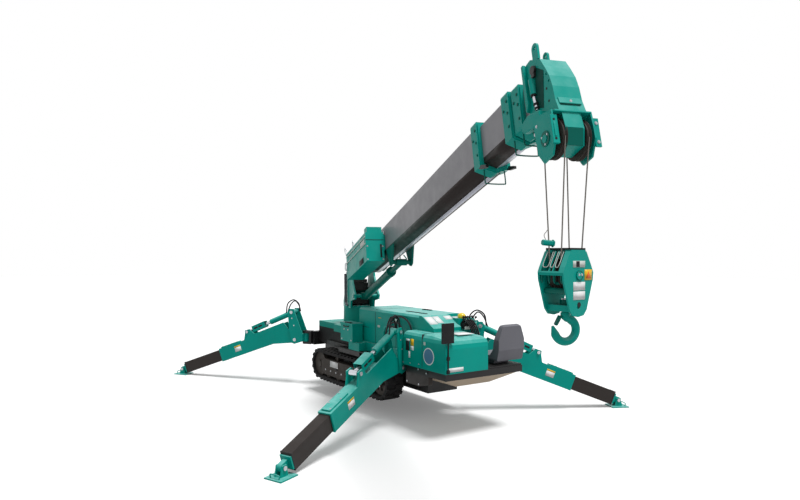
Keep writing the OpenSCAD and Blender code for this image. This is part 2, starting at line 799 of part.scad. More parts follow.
module hoist_ropes() {
  color(steel) on_post() {
    fall(1, -sheave_y, 1, 1);
    fall(-1, -sheave_y, 1, -1);
    fall(1, sheave_y, -1, 1);
    fall(-1, sheave_y, -1, -1);
  }
}

module hook_block() {
  b = block_width / 2;
  color(green) on_block() {
    difference() {
      for (s = [-1, 1]) {
        side_plate(block_outline, s > 0 ? b - 14 : -b, s > 0 ? b : -b + 14);
      }
      bar_y(0, 0, 28 + seat_gap, -300, 300);
      bar_y(0, -225, 14, -300, 300);
    }
    bar_y(0, 0, 28, -b - 10, b + 10);
    slab(-72, 72, -b + 13, b - 13, -260, -215);
    for (s = [-1, 1]) {
      difference() {
        side_plate(s > 0 ? [[90, 172], [150, 62], [169, 20], [167, 0], [157, 0], [158, 20], [140, 62], [82, 168]] :
          [[-90, 172], [-150, 62], [-169, 20], [-167, 0], [-157, 0], [-158, 20], [-140, 62], [-82, 168]], -b, b);
        for (y = [-block_sheave_y, 0, block_sheave_y]) {
          wide = y == 0 ? 12 : 24;
          out = y * s < 0 ? 20 : 0;
          slab(s > 0 ? 80 : -180, s > 0 ? 180 : -80, y - wide - (s > 0 ? out : 0), y + wide + (s > 0 ? 0 : out), 30, 200);
        }
      }
    }
    for (y = [-b + 26, b - 26]) {
      slab(-80, 80, y - 26, y + 26, 160, 182);
    }
  }
}

module block_sheaves() {
  color([0.2, 0.2, 0.21]) on_block() {
    for (y = [-block_sheave_y, block_sheave_y]) {
      translate([0, y, 0]) sheave(block_sheave_r, 18, 28 + seat_gap);
    }
  }
}

module load_hook() {
  color(dark_green) on_hook() {
    translate([0, 0, -272]) cylinder(r = 26, h = 12 - seat_gap);
    translate([0, 0, -300]) cylinder(r = 34, h = 29);
    translate([0, 0, -hook_low]) {
      rotate([90, 0, 90]) rotate([0, 0, 90]) rotate_extrude(angle = -250, $fn = 40)
        translate([hook_throat + hook_bar, 0]) circle(r = hook_bar, $fn = 20);
      rotate([90, 0, 90]) rotate([0, 0, -160]) translate([hook_throat + hook_bar, 0, 0]) rotate([90, 0, 0])
        cylinder(r1 = hook_bar, r2 = 9, h = 62, $fn = 20);
    }
  }
}

// One outrigger: swing pin, foot and reach, everything in its own vertical plane
function foot_dist(px, py, fx, fy) = sqrt(pow(fx - px, 2) + pow(fy - py, 2));
function foot_az(px, py, fx, fy) = atan2(fy - py, fx - px);
function hinge_to_pin(sp) = sqrt(pow(sp - arm_s, 2) + pow(foot_pin_z - arm_z, 2));
function arm_slope(sp) = asin(box_up / hinge_to_pin(sp)) - atan2(foot_pin_z - arm_z, sp - arm_s);
function pin_reach(sp) = sqrt(pow(hinge_to_pin(sp), 2) - pow(box_up, 2));

module on_outrigger(px, py, fx, fy) {
  place() translate([px, py, 0]) rotate([0, 0, foot_az(px, py, fx, fy)]) children();
}

// Arm frame: origin on the hinge pin, length along the box
module on_arm(sp) {
  translate([arm_s, 0, arm_z]) rotate([0, arm_slope(sp), 0]) children();
}

module bracket() {
  color(green) {
    difference() {
      union() {
        translate([0, 0, 785]) cylinder(r = 58, h = 154);
        for (s = [-1, 1]) {
          side_plate([[30, 790], [arm_s + 10, 740], [arm_s + 70, 760], [arm_s + 75, 840], [ram_s + 50, 1000],
            [ram_s + 75, ram_z], [ram_s + 40, ram_z + 62], [ram_s - 40, ram_z + 62], [60, 1010], [30, 935]],
            s > 0 ? arm_wide / 2 + 6 : -arm_wide / 2 - 24, s > 0 ? arm_wide / 2 + 24 : -arm_wide / 2 - 6);
        }
        slab(30, 62, -arm_wide / 2 - 10, arm_wide / 2 + 10, 792, 933);
      }
      translate([0, 0, 700]) cylinder(r = pin_r + 6 + pin_gap, h = 400);
      bar_y(arm_s, arm_z, pin_r + pin_gap, -200, 200);
      bar_y(ram_s, ram_z, pin_r + pin_gap, -200, 200);
    }
    bar_y(arm_s, arm_z, pin_r, -arm_wide / 2 - 34, arm_wide / 2 + 34);
    bar_y(ram_s, ram_z, pin_r, -arm_wide / 2 - 34, arm_wide / 2 + 34);
  }
}

module arm(sp, reach) {
  w = arm_wide / 2;
  low = box_up - arm_high / 2;
  top = box_up + arm_high / 2;
  pad = box_gap - run_gap;
  color(green) on_arm(sp) {
    difference() {
      union() {
        slab(430, reach, -w, w, low, top);
        side_plate([[-45, -20], [-20, -45], [60, -45], [480, low], [480, top], [40, box_up], [-45, 60]], -w, w);
        for (s = [-1, 1]) {
          side_plate([[30, 120], [136, 371], [790, 355], [eye_x - 60, eye_z + 35], [eye_x + 40, eye_z + 40],
            [eye_x + 55, eye_z - 20], [eye_x + 120, top - 10], [400, box_up], [60, 60]],
            s > 0 ? w - 18 : -w, s > 0 ? w : -w + 18);
        }
        slab(reach - 430, reach - 40, -w + 30, w - 30, top - 1, top + 22);
      }
      difference() {
        slab(470, reach + 10, -w + arm_wall, w - arm_wall, low + arm_wall, top - arm_wall);
        for (s = [-1, 1]) {
          slab(reach - 90, reach - 10, s > 0 ? w - arm_wall - pad : -w, s > 0 ? w : -w + arm_wall + pad,
            box_up - 50, box_up + 50);
          slab(reach - 90, reach - 10, -40, 40, s > 0 ? top - arm_wall - pad : low, s > 0 ? top : low + arm_wall + pad);
        }
      }
      bar_y(0, 0, pin_r + pin_gap, -200, 200);
      slab(-80, 420, -w + 18, w - 18, 100, 500);
    }
    for (s = [-1, 1]) {
      bar_y(eye_x, eye_z, pin_r, s > 0 ? eye_half + eye_stub : -w - 10, s > 0 ? w + 10 : -eye_half - eye_stub);
    }
  }
}

// Pins of one raising cylinder in the outrigger's plane
function eye_s(sp) = arm_s + eye_x * cos(arm_slope(sp)) + eye_z * sin(arm_slope(sp));
function eye_h(sp) = arm_z - eye_x * sin(arm_slope(sp)) + eye_z * cos(arm_slope(sp));
function ram_len(sp) = sqrt(pow(eye_s(sp) - ram_s, 2) + pow(eye_h(sp) - ram_z, 2));
function ram_slope(sp) = atan2(eye_h(sp) - ram_z, eye_s(sp) - ram_s);

module on_ram(sp) {
  translate([ram_s, 0, ram_z]) rotate([0, -ram_slope(sp), 0]) children();
}

module ram_barrel(sp) {
  color(green) on_ram(sp) {
    difference() {
      union() {
        translate([20, 0, 0]) rotate([0, 90, 0]) cylinder(r = 50, h = 510);
        bar_y(0, 0, 46, -70, 70);
      }
      bar_y(0, 0, pin_r + pin_gap, -200, 200);
      translate([70, 0, 0]) rotate([0, 90, 0]) cylinder(r = 30, h = 600);
    }
  }
}

module ram_rod(sp) {
  L = ram_len(sp);
  color(steel) on_ram(sp) {
    translate([L - 560, 0, 0]) rotate([0, 90, 0]) cylinder(r = 29.5, h = 545);
    translate([L, 0, 0]) bar_y(0, 0, 38, -eye_half, eye_half);
  }
}

module beam(sp, reach) {
  w = arm_wide / 2 - arm_wall - box_gap;
  h = arm_high / 2 - arm_wall - box_gap;
  d = pin_reach(sp);
  pad = box_gap - run_gap;
  color(black) on_arm(sp) {
    difference() {
      slab(reach - 280, d - 110, -w, w, box_up - h, box_up + h);
      slab(reach - 290, d - 125, -w + 9, w - 9, box_up - h + 9, box_up + h - 9);
    }
    for (s = [-1, 1]) {
      slab(reach - 280, reach - 200, s > 0 ? w - 1 : -w - pad, s > 0 ? w + pad : -w + 1, box_up - 50, box_up + 50);
      slab(reach - 280, reach - 200, -40, 40, s > 0 ? box_up + h - 1 : box_up - h - pad,
        s > 0 ? box_up + h + pad : box_up - h + 1);
    }
  }
}

module foot(sp) {
  d = pin_reach(sp);
  w = arm_wide / 2 - arm_wall - box_gap;
  color(green) {
    on_arm(sp) {
      difference() {
        union() {
          slab(d - 110 + seat_gap, d - 90, -w, w, box_up - 80, box_up + 80);
          slab(d - 100, d, -30, 30, box_up - 45, box_up + 45);
          bar_y(d, box_up, 45, -30, 30);
        }
      }
    }
    translate([sp, 0, foot_pin_z]) {
      for (s = [-1, 1]) {
        side_plate([[-60, 14 - foot_pin_z], [60, 14 - foot_pin_z], [35, 30], [-35, 30]], s > 0 ? 31 : -47,
          s > 0 ? 47 : -31);
      }
      bar_y(0, 0, 18, -58, 58);
    }
    slab(sp - pad_long / 2, sp + pad_long / 2, -pad_wide / 2, pad_wide / 2, 0, 15);
  }
}

module at_rl() {
  on_outrigger(swing_rear_x, swing_rear_y, foot_rear_x, foot_rear_y) children();
}
module at_rr() {
  on_outrigger(swing_rear_x, -swing_rear_y, foot_rear_x, -foot_rear_y) children();
}
module at_fl() {
  on_outrigger(swing_front_x, swing_front_y, foot_front_x, foot_front_y) children();
}
module at_fr() {
  on_outrigger(swing_front_x, -swing_front_y, foot_front_x, -foot_front_y) children();
}

module bracket_rl() {
  at_rl() bracket();
}
module arm_rl() {
  at_rl() arm(sp_rear, reach_rear);
}
module ram_barrel_rl() {
  at_rl() ram_barrel(sp_rear);
}
module ram_rod_rl() {
  at_rl() ram_rod(sp_rear);
}
module beam_rl() {
  at_rl() beam(sp_rear, reach_rear);
}
module foot_rl() {
  at_rl() foot(sp_rear);
}
module bracket_rr() {
  at_rr() bracket();
}
module arm_rr() {
  at_rr() arm(sp_rear, reach_rear);
}
module ram_barrel_rr() {
  at_rr() ram_barrel(sp_rear);
}
module ram_rod_rr() {
  at_rr() ram_rod(sp_rear);
}
module beam_rr() {
  at_rr() beam(sp_rear, reach_rear);
}
module foot_rr() {
  at_rr() foot(sp_rear);
}
module bracket_fl() {
  at_fl() bracket();
}
module arm_fl() {
  at_fl() arm(sp_front, reach_front);
}
module ram_barrel_fl() {
  at_fl() ram_barrel(sp_front);
}
module ram_rod_fl() {
  at_fl() ram_rod(sp_front);
}
module beam_fl() {
  at_fl() beam(sp_front, reach_front);
}
module foot_fl() {
  at_fl() foot(sp_front);
}
module bracket_fr() {
  at_fr() bracket();
}
module arm_fr() {
  at_fr() arm(sp_front, reach_front);
}
module ram_barrel_fr() {
  at_fr() ram_barrel(sp_front);
}
module ram_rod_fr() {
  at_fr() ram_rod(sp_front);
}
module beam_fr() {
  at_fr() beam(sp_front, reach_front);
}
module foot_fr() {
  at_fr() foot(sp_front);
}

chassis_frame();
outrigger_mounts();
track_left();
track_right();
track_frame_left();
track_frame_right();
engine_hood();
rear_cover();
control_console();
control_levers();
seat_platform();
belly_guard();
seat();
storage_box();
service_tank();
mirror();
slew_column();
post_plates();
swivel_gear();
boom_section_1();
boom_tail();
winch_housing();
boom_collar_1();
luff_barrel();
luff_rod();
boom_section_2();
boom_collar_2();
boom_section_3();
boom_collar_3();
boom_section_4();
boom_head();
head_sheaves();
hoist_ropes();
hook_block();
block_sheaves();
load_hook();
bracket_rl();
arm_rl();
ram_barrel_rl();
ram_rod_rl();
beam_rl();
foot_rl();
bracket_rr();
arm_rr();
ram_barrel_rr();
ram_rod_rr();
beam_rr();
foot_rr();
bracket_fl();
arm_fl();
ram_barrel_fl();
ram_rod_fl();
beam_fl();
foot_fl();
bracket_fr();
arm_fr();
ram_barrel_fr();
ram_rod_fr();
beam_fr();
foot_fr();
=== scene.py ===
import math
import random

import bmesh
import bpy
from mathutils import Matrix, Vector


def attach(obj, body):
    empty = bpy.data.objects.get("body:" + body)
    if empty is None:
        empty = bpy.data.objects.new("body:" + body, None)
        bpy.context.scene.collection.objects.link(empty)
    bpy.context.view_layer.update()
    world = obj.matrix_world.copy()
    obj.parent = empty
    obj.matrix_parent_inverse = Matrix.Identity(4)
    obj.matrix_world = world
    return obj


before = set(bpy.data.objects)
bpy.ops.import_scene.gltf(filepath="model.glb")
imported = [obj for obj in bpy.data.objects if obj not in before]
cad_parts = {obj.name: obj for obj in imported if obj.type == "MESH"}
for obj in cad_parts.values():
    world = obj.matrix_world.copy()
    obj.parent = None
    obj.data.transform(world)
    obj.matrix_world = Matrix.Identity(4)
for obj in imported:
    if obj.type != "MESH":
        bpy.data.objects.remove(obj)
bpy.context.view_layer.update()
random.seed(7)

# Sizes of the part in millimetres, as the solids have them
SHIFT = 880
POST_X, AZIMUTH, RISE = 766, 161.9, 14
FOOT_X, FOOT_Z = 180, 2233
LOW_X, LOW_Z = 600, 1700
BASE_END = 5322
END_2 = BASE_END + 600
END_3 = END_2 + 150
END_4 = END_3 + 130
AXLE_D, HEAD_DROP, BLOCK_Z = END_4 + 238, 580, 2250
ARM_S, ARM_Z, RAM_S, RAM_Z, BOX_UP = 180, 820, 250, 1320, 183
REACH = 1630
BODY_SIDE, HOOD_SIDE, COVER_REAR, PLATE = 690, 465, -2500, 2.5
TRACK_Y, TRACK_HALF = 1095 / 2, 60
BOOM_HALF, BOOM_TOP, BOOM_DEEP, NEST, COLLAR_OUT = 130, 60, 385, 16, 22
CHEEK_Y, BLOCK_FACE, RAM_EYE_X, RAM_EYE_Z = 109, 112, 922, 435

# Light: the sky and the floor as the object meets them, the floor as the camera sees it, and two suns
SKY_LIGHT, FLOOR_DULL, FLOOR_SEEN, FLOOR_LIFT = 0.36, 0.4, 0.86, 0.16
KEY_SUN, SIDE_SUN = 2.8, 0.2


def rad(degrees):
    return math.radians(degrees)


def move(x, y, z):
    return Matrix.Translation((x, y, z))


def turn(degrees, axis):
    return Matrix.Rotation(rad(degrees), 4, axis)


# Local frames of the part's groups, in millimetres
CH = move(SHIFT, 0, 0)
POST = CH @ move(POST_X, 0, 0) @ turn(AZIMUTH, "Z")
BOOM = POST @ move(FOOT_X, 0, FOOT_Z) @ turn(-RISE, "Y")
HEAD_X = FOOT_X + AXLE_D * math.cos(rad(RISE)) + HEAD_DROP * math.sin(rad(RISE))
HEAD_Z = FOOT_Z + AXLE_D * math.sin(rad(RISE)) - HEAD_DROP * math.cos(rad(RISE))
HOOK = POST @ move(HEAD_X, 0, BLOCK_Z)
BLOCK = HOOK @ turn(-70, "Z")

LEGS = {}
for key, px, py, fx, fy in (
    ("rl", -1366, 560, -2420, 2892),
    ("rr", -1366, -560, -2420, -2892),
    ("fl", 1680, 560, 3790, 2220),
    ("fr", 1680, -560, 3790, -2220),
):
    span = math.hypot(fx - px, fy - py)
    reach = math.hypot(span - ARM_S, 105 - ARM_Z)
    slope = math.degrees(math.asin(BOX_UP / reach) - math.atan2(105 - ARM_Z, span - ARM_S))
    out = CH @ move(px, py, 0) @ turn(math.degrees(math.atan2(fy - py, fx - px)), "Z")
    LEGS[key] = {
        "out": out,
        "arm": out @ move(ARM_S, 0, ARM_Z) @ turn(slope, "Y"),
        "pin": math.sqrt(reach * reach - BOX_UP * BOX_UP),
        "span": span,
    }


# Finishes
def srgb(r, g, b):
    def lin(c):
        c /= 255
        return c / 12.92 if c <= 0.04045 else ((c + 0.055) / 1.055) ** 2.4

    return (lin(r), lin(g), lin(b), 1)


def finish(
    name, colour, rough, metal=0.0, coat=0.0, wear=0.25, bump=0.1, grain=9.0, dust_and_sheen=0.0, fine=60.0,
    spec=0.35, far=None, axis="X", dust_and_sheen_colour=(150, 145, 135)
):
    """A procedural finish with uneven colour, roughness, a light bump, and a pale film on upward faces that
    is dust on most finishes and a painted sheen on the green paint.
    """
    m = bpy.data.materials.new(name)
    m.use_nodes = True
    nt = m.node_tree
    p = nt.nodes["Principled BSDF"]
    link = nt.links.new
    geo = nt.nodes.new("ShaderNodeTexCoord")

    def noise(scale, detail=5.0):
        n = nt.nodes.new("ShaderNodeTexNoise")
        n.inputs["Scale"].default_value = scale
        n.inputs["Detail"].default_value = detail
        link(geo.outputs["Object"], n.inputs["Vector"])
        return n.outputs["Fac"]

    def span(source, low, high, out_low, out_high):
        r = nt.nodes.new("ShaderNodeMapRange")
        r.inputs["From Min"].default_value = low
        r.inputs["From Max"].default_value = high
        r.inputs["To Min"].default_value = out_low
        r.inputs["To Max"].default_value = out_high
        link(source, r.inputs["Value"])
        return r.outputs["Result"]

    def mix(kind, factor, a, b):
        n = nt.nodes.new("ShaderNodeMix")
        n.data_type = "RGBA"
        n.blend_type = kind
        if isinstance(factor, float):
            n.inputs["Factor"].default_value = factor
        else:
            link(factor, n.inputs["Factor"])
        for socket, value in ((6, a), (7, b)):
            if isinstance(value, tuple):
                n.inputs[socket].default_value = value
            else:
                link(value, n.inputs[socket])
        return n.outputs[2]

    large, small = noise(1.7), noise(grain)
    shade = tuple(c * 0.86 for c in colour[:3]) + (1,)
    base = mix("MIX", span(large, 0.35, 0.7, 0.0, 1.0), colour, shade)
    worn = tuple(min(1, c * 1.2 + 0.01) for c in colour[:3]) + (1,)
    base = mix("MIX", span(small, 0.55, 0.78, 0.0, wear), base, worn)
    if far:
        along = nt.nodes.new("ShaderNodeSeparateXYZ")
        link(geo.outputs["Object"], along.inputs["Vector"])
        base = mix("MIX", span(along.outputs[axis], far[1], far[2], 0.0, 1.0), base, far[0])
    # Upward faces get a pale film: dust on most finishes, a painted sheen on the green paint.
    if dust_and_sheen > 0:
        normal = nt.nodes.new("ShaderNodeSeparateXYZ")
        shape = nt.nodes.new("ShaderNodeNewGeometry")
        link(shape.outputs["Normal"], normal.inputs["Vector"])
        up = span(normal.outputs["Z"], 0.2, 1.0, 0.0, dust_and_sheen)
        dust_and_sheen_mask = nt.nodes.new("ShaderNodeMath")
        dust_and_sheen_mask.operation = "MULTIPLY"
        link(up, dust_and_sheen_mask.inputs[0])
        link(span(small, 0.3, 0.7, 0.3, 1.0), dust_and_sheen_mask.inputs[1])
        base = mix("MIX", dust_and_sheen_mask.outputs["Value"], base, srgb(*dust_and_sheen_colour))
    link(base, p.inputs["Base Color"])
    link(span(small, 0.3, 0.75, rough - 0.08, rough + 0.12), p.inputs["Roughness"])
    p.inputs["Metallic"].default_value = metal
    p.inputs["Specular IOR Level"].default_value = spec
    p.inputs["Coat Weight"].default_value = coat
    p.inputs["Coat Roughness"].default_value = 0.12
    b = nt.nodes.new("ShaderNodeBump")
    b.inputs["Strength"].default_value = bump
    b.inputs["Distance"].default_value = 0.002
    link(noise(fine, 3.0), b.inputs["Height"])
    link(b.outputs["Normal"], p.inputs["Normal"])
    return m


# On the green paint the pale film on upward faces is a painted sheen, the sky reflected on its tops.
GREEN = finish("green_enamel", srgb(0, 162, 148), 0.36, wear=0.06, bump=0.05, dust_and_sheen=0.45, spec=0.12,
    dust_and_sheen_colour=(178, 228, 226))
# A darker copy of the green paint: painted shade for green parts that sit in shade.
GREEN_IN_SHADE = finish("green_enamel_painted_shade", srgb(0, 104, 92), 0.4, wear=0.08, bump=0.06, spec=0.12)
# Painted shade, for the side opening of the boom head and the line under its flap.
DUSK = finish("shaded_green", srgb(0, 66, 58), 0.6, wear=0.2, bump=0.1, spec=0.1)
MOUNT = finish(
    "slew_mount_enamel", srgb(0, 150, 136), 0.38, wear=0.06, bump=0.05, spec=0.12,
    far=(srgb(22, 21, 22), 1.088, 1.078), axis="Z"
)
GREY = finish("grey_boom_enamel", srgb(140, 139, 144), 0.42, coat=0.08, wear=0.08, bump=0.05)
# Painted highlight for the boom's other lower face, as lit by light from the floor.
BOOM_UNDERSIDE_HIGHLIGHT = finish("boom_enamel_painted_highlight", srgb(206, 208, 220), 0.36, metal=0.2, wear=0.08, bump=0.05)
# Painted shade for the boom's lower face, turning to a painted reflection of the green body towards the boom
# foot.
BOOM_UNDERSIDE_SHADE = finish(
    "boom_underside_painted_shade", srgb(34, 26, 24), 0.5, wear=0.15, bump=0.08, spec=0.2,
    far=(srgb(0, 62, 54), -2.6, 1.2)
)
BLACK = finish("black_enamel", srgb(22, 21, 22), 0.42, coat=0.05, wear=0.2, bump=0.08, dust_and_sheen=0.02, spec=0.25)
BOX = finish("inner_box_enamel", srgb(38, 31, 28), 0.45, wear=0.2, bump=0.08, spec=0.25)
MATT = finish("matt_black_plastic", srgb(20, 20, 22), 0.6, wear=0.2, bump=0.2, fine=180.0, spec=0.2)
RUBBER = finish("track_rubber", srgb(38, 37, 38), 0.78, wear=0.4, bump=0.5, grain=24.0, dust_and_sheen=0.06,
    fine=90.0, spec=0.15)
IRON = finish("dusty_iron", srgb(60, 55, 51), 0.66, metal=0.2, wear=0.4, bump=0.3, dust_and_sheen=0.08, spec=0.2)
STEEL = finish("plain_steel", srgb(190, 192, 196), 0.3, metal=0.8, wear=0.2, bump=0.08)
CHROME = finish("chrome_rod", srgb(206, 208, 214), 0.18, metal=0.9, wear=0.05, bump=0.02)
ROPE = finish("wire_rope", srgb(112, 108, 102), 0.5, metal=0.4, wear=0.4, bump=0.6, fine=400.0)
TAN = finish("tan_primer", srgb(205, 186, 163), 0.66, wear=0.25, bump=0.25, spec=0.2)
SHELL = finish("grey_seat_shell", srgb(112, 112, 119), 0.5, wear=0.12, bump=0.2, fine=220.0, spec=0.25)
HOSE = finish("black_hose", srgb(18, 18, 20), 0.5, wear=0.2, bump=0.3, fine=240.0, spec=0.25)
PALE = finish("pale_plastic", srgb(208, 214, 208), 0.45, wear=0.12, bump=0.08)
WHITE = finish("blank_white_plate", srgb(240, 241, 241), 0.75, wear=0.06, bump=0.05, spec=0.1)
YELLOW = finish("yellow_plate", srgb(240, 190, 30), 0.4, wear=0.1, bump=0.05)
ORANGE = finish("orange_mark", srgb(226, 104, 24), 0.45, wear=0.08, bump=0.05)
SLATE = finish("slate_blue_plate", srgb(84, 132, 166), 0.4, wear=0.1, bump=0.05)
LENS = finish("yellow_lamp", srgb(250, 214, 30), 0.2, coat=0.5, wear=0.05, bump=0.04)
GLASS = finish("mirror_glass", srgb(190, 196, 204), 0.05, metal=1.0, wear=0.03, bump=0.01)
BRASS = finish("zinc_fitting", srgb(190, 184, 160), 0.34, metal=0.7, wear=0.2, bump=0.1)


# Builder of one piece out of simple closed solids in a local frame
class Piece:
    def __init__(self, name, body, local, material, bevel=0.0):
        self.name, self.body, self.local = name, body, local
        self.material, self.bevel = material, bevel
        self.bm = bmesh.new()

    def _add(self, made, matrix):
        bmesh.ops.transform(self.bm, matrix=matrix, verts=made)

    def box(self, x0, x1, y0, y1, z0, z1, at=None):
        made = bmesh.ops.create_cube(self.bm, size=1)["verts"]
        size = Matrix.Diagonal((x1 - x0, y1 - y0, z1 - z0, 1))
        self._add(made, (at or Matrix()) @ move((x0 + x1) / 2, (y0 + y1) / 2, (z0 + z1) / 2) @ size)
        return self

    def bar(self, p, q, r, n=20, r2=None):
        p, q = Vector(p), Vector(q)
        made = bmesh.ops.create_cone(
            self.bm, cap_ends=True, segments=n, radius1=r, radius2=r if r2 is None else r2,
            depth=(q - p).length
        )["verts"]
        spin = (q - p).to_track_quat("Z", "Y").to_matrix().to_4x4()
        self._add(made, Matrix.Translation((p + q) / 2) @ spin)
        return self

    def bolt(self, p, axis, r=12, h=9):
        a = Vector(axis).normalized()
        p = Vector(p)
        self.bar(p - a * 1, p + a * 3, r * 1.35, 16)
        return self.bar(p, p + a * h, r, 6)

    def ball(self, c, r, squash=1.0):
        made = bmesh.ops.create_uvsphere(self.bm, u_segments=20, v_segments=12, radius=r)["verts"]
        self._add(made, move(*c) @ Matrix.Diagonal((1, 1, squash, 1)))
        return self

    def prism(self, points, y0, y1, at=None):
        """A profile in x and z, given a thickness in y."""
        at = at or Matrix()
        ends = [[self.bm.verts.new(at @ Vector((x, y, z))) for x, z in points] for y in (y0, y1)]
        self.bm.faces.new(ends[0])
        self.bm.faces.new(ends[1][::-1])
        for i in range(len(points)):
            j = (i + 1) % len(points)
            self.bm.faces.new((ends[0][i], ends[1][i], ends[1][j], ends[0][j]))
        return self

    def extrude(self, points, x0, x1, at=None):
        """A profile in y and z, given a length in x."""
        return self.prism(points, -x1, -x0, (at or Matrix()) @ turn(90, "Z"))

    def disc(self, p, axis, r, h=2, n=20):
        return self.bar(p, Vector(p) + Vector(axis).normalized() * h, r, n)

    def tube(self, points, r, n=10, steps=8, close=False):
        """A round tube along a smooth line through the points."""
        pts = [Vector(p) for p in points]
        line = []
        count = len(pts)
        for i in range(count if close else count - 1):
            a = pts[(i - 1) % count] if close or i else pts[0] * 2 - pts[1]
            b, c = pts[i], pts[(i + 1) % count]
            d = pts[(i + 2) % count] if close or i + 2 < count else pts[-1] * 2 - pts[-2]
            for k in range(steps):
                t = k / steps
                bend, twist = 2 * a - 5 * b + 4 * c - d, 3 * b - a - 3 * c + d
                line.append(0.5 * (2 * b + (c - a) * t + bend * t * t + twist * t ** 3))
        if not close:
            line.append(pts[-1])
        rings, side = [], None
        total = len(line)
        for i, p in enumerate(line):
            before = line[i - 1] if i or close else p
            after = line[(i + 1) % total] if i + 1 < total or close else p
            along = (after - before).normalized()
            if side is None:
                side = along.orthogonal().normalized()
            side = (side - along * side.dot(along)).normalized()
            up = along.cross(side)
            angles = [2 * math.pi * k / n for k in range(n)]
            rings.append([self.bm.verts.new(p + (side * math.cos(t) + up * math.sin(t)) * r) for t in angles])
        for i in range(total if close else total - 1):
            a, b = rings[i], rings[(i + 1) % total]
            for k in range(n):
                self.bm.faces.new((a[k], a[(k + 1) % n], b[(k + 1) % n], b[k]))
        if not close:
            self.bm.faces.new(rings[0][::-1])
            self.bm.faces.new(rings[-1])
        return self

    def hoop(self, c, axis, radius, r, n=10, arc=24):
        a = Vector(axis).normalized()
        u = a.orthogonal().normalized()
        v = a.cross(u)
        c = Vector(c)
        angles = [2 * math.pi * k / arc for k in range(arc)]
        return self.tube([c + (u * math.cos(t) + v * math.sin(t)) * radius for t in angles], r, n, 1, True)

    def coil(self, p, q, radius, r, turns, n=6):
        p, q = Vector(p), Vector(q)
        along = (q - p).normalized()
        u = along.orthogonal().normalized()
        v = along.cross(u)
        line = []
        for k in range(turns * 12 + 1):
            a = 2 * math.pi * k / 12
            line.append(p + (q - p) * (k / (turns * 12)) + (u * math.cos(a) + v * math.sin(a)) * radius)
        return self.tube(line, r, n, 1)

    def done(self):
        bmesh.ops.recalc_face_normals(self.bm, faces=self.bm.faces)
        bmesh.ops.transform(self.bm, matrix=Matrix.Scale(0.001, 4) @ self.local, verts=self.bm.verts)
        mesh = bpy.data.meshes.new(self.name)
        self.bm.to_mesh(mesh)
        self.bm.free()
        mesh.materials.append(self.material)
        obj = bpy.data.objects.new(self.name, mesh)
        bpy.context.scene.collection.objects.link(obj)
        soften(obj, self.bevel)
        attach(obj, self.body)
        return obj


def soften(obj, bevel):
    """Rounds the edges of an object and shades it smooth across its curves."""
    for f in obj.data.polygons:
        f.use_smooth = True
    if bevel > 0:
        b = obj.modifiers.new("rounded_edges", "BEVEL")
        b.width = bevel / 1000
        b.segments = 2
        b.limit_method = "ANGLE"
        b.angle_limit = rad(35)
        b.harden_normals = True
    marks = obj.data.attributes
    sharp = marks.get("sharp_edge") or marks.new("sharp_edge", "BOOLEAN", "EDGE")
    bm = bmesh.new()
    bm.from_mesh(obj.data)
    values = [len(e.link_faces) == 2 and e.calc_face_angle(0) > rad(33) for e in bm.edges]
    bm.free()
    sharp.data.foreach_set("value", values)


# The solids keep their shape and take a finish and rounded edges
LOOK = {
    "chassis_frame": (BLACK, 4), "outrigger_mounts": (BLACK, 5), "track_left": (RUBBER, 4),
    "track_right": (RUBBER, 4), "track_frame_left": (IRON, 3), "track_frame_right": (IRON, 3),
    "engine_hood": (GREEN, 14), "rear_cover": (GREEN, 16), "control_console": (GREEN, 8),
    "control_levers": (MATT, 3), "seat_platform": (BLACK, 8), "belly_guard": (TAN, 8),
    "seat": (SHELL, 16), "storage_box": (GREEN, 10), "service_tank": (GREEN, 14), "mirror": (MATT, 11),
    "slew_column": (MOUNT, 6), "post_plates": (GREEN, 4), "swivel_gear": (BLACK, 5),
    # The boom tail, luff barrel and luff rod take the shaded copy of the green: painted shade.
    "boom_section_1": (GREY, 2.5), "boom_tail": (GREEN_IN_SHADE, 4), "winch_housing": (GREEN, 8),
    "boom_collar_1": (GREEN, 3), "luff_barrel": (GREEN_IN_SHADE, 5), "luff_rod": (GREEN_IN_SHADE, 2),
    "boom_section_2": (GREY, 2.5), "boom_collar_2": (GREEN, 3), "boom_section_3": (GREY, 2.5),
    "boom_collar_3": (GREEN, 3), "boom_section_4": (GREY, 2.5), "boom_head": (GREEN, 3),
    "head_sheaves": (IRON, 2), "hoist_ropes": (ROPE, 0), "hook_block": (GREEN, 4),
    "block_sheaves": (IRON, 2), "load_hook": (GREEN, 0),
}
for key in LEGS:
    LOOK["bracket_" + key] = (GREEN, 4)
    LOOK["arm_" + key] = (GREEN, 5)
    LOOK["ram_barrel_" + key] = (GREEN, 5)
    LOOK["ram_rod_" + key] = (CHROME, 2)
    LOOK["beam_" + key] = (BOX, 6)
    LOOK["foot_" + key] = (GREEN, 4)
for name, (material, bevel) in LOOK.items():
    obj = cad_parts[name]
    obj.data.materials.clear()
    obj.data.materials.append(material)
    soften(obj, bevel)

# Details, group by group

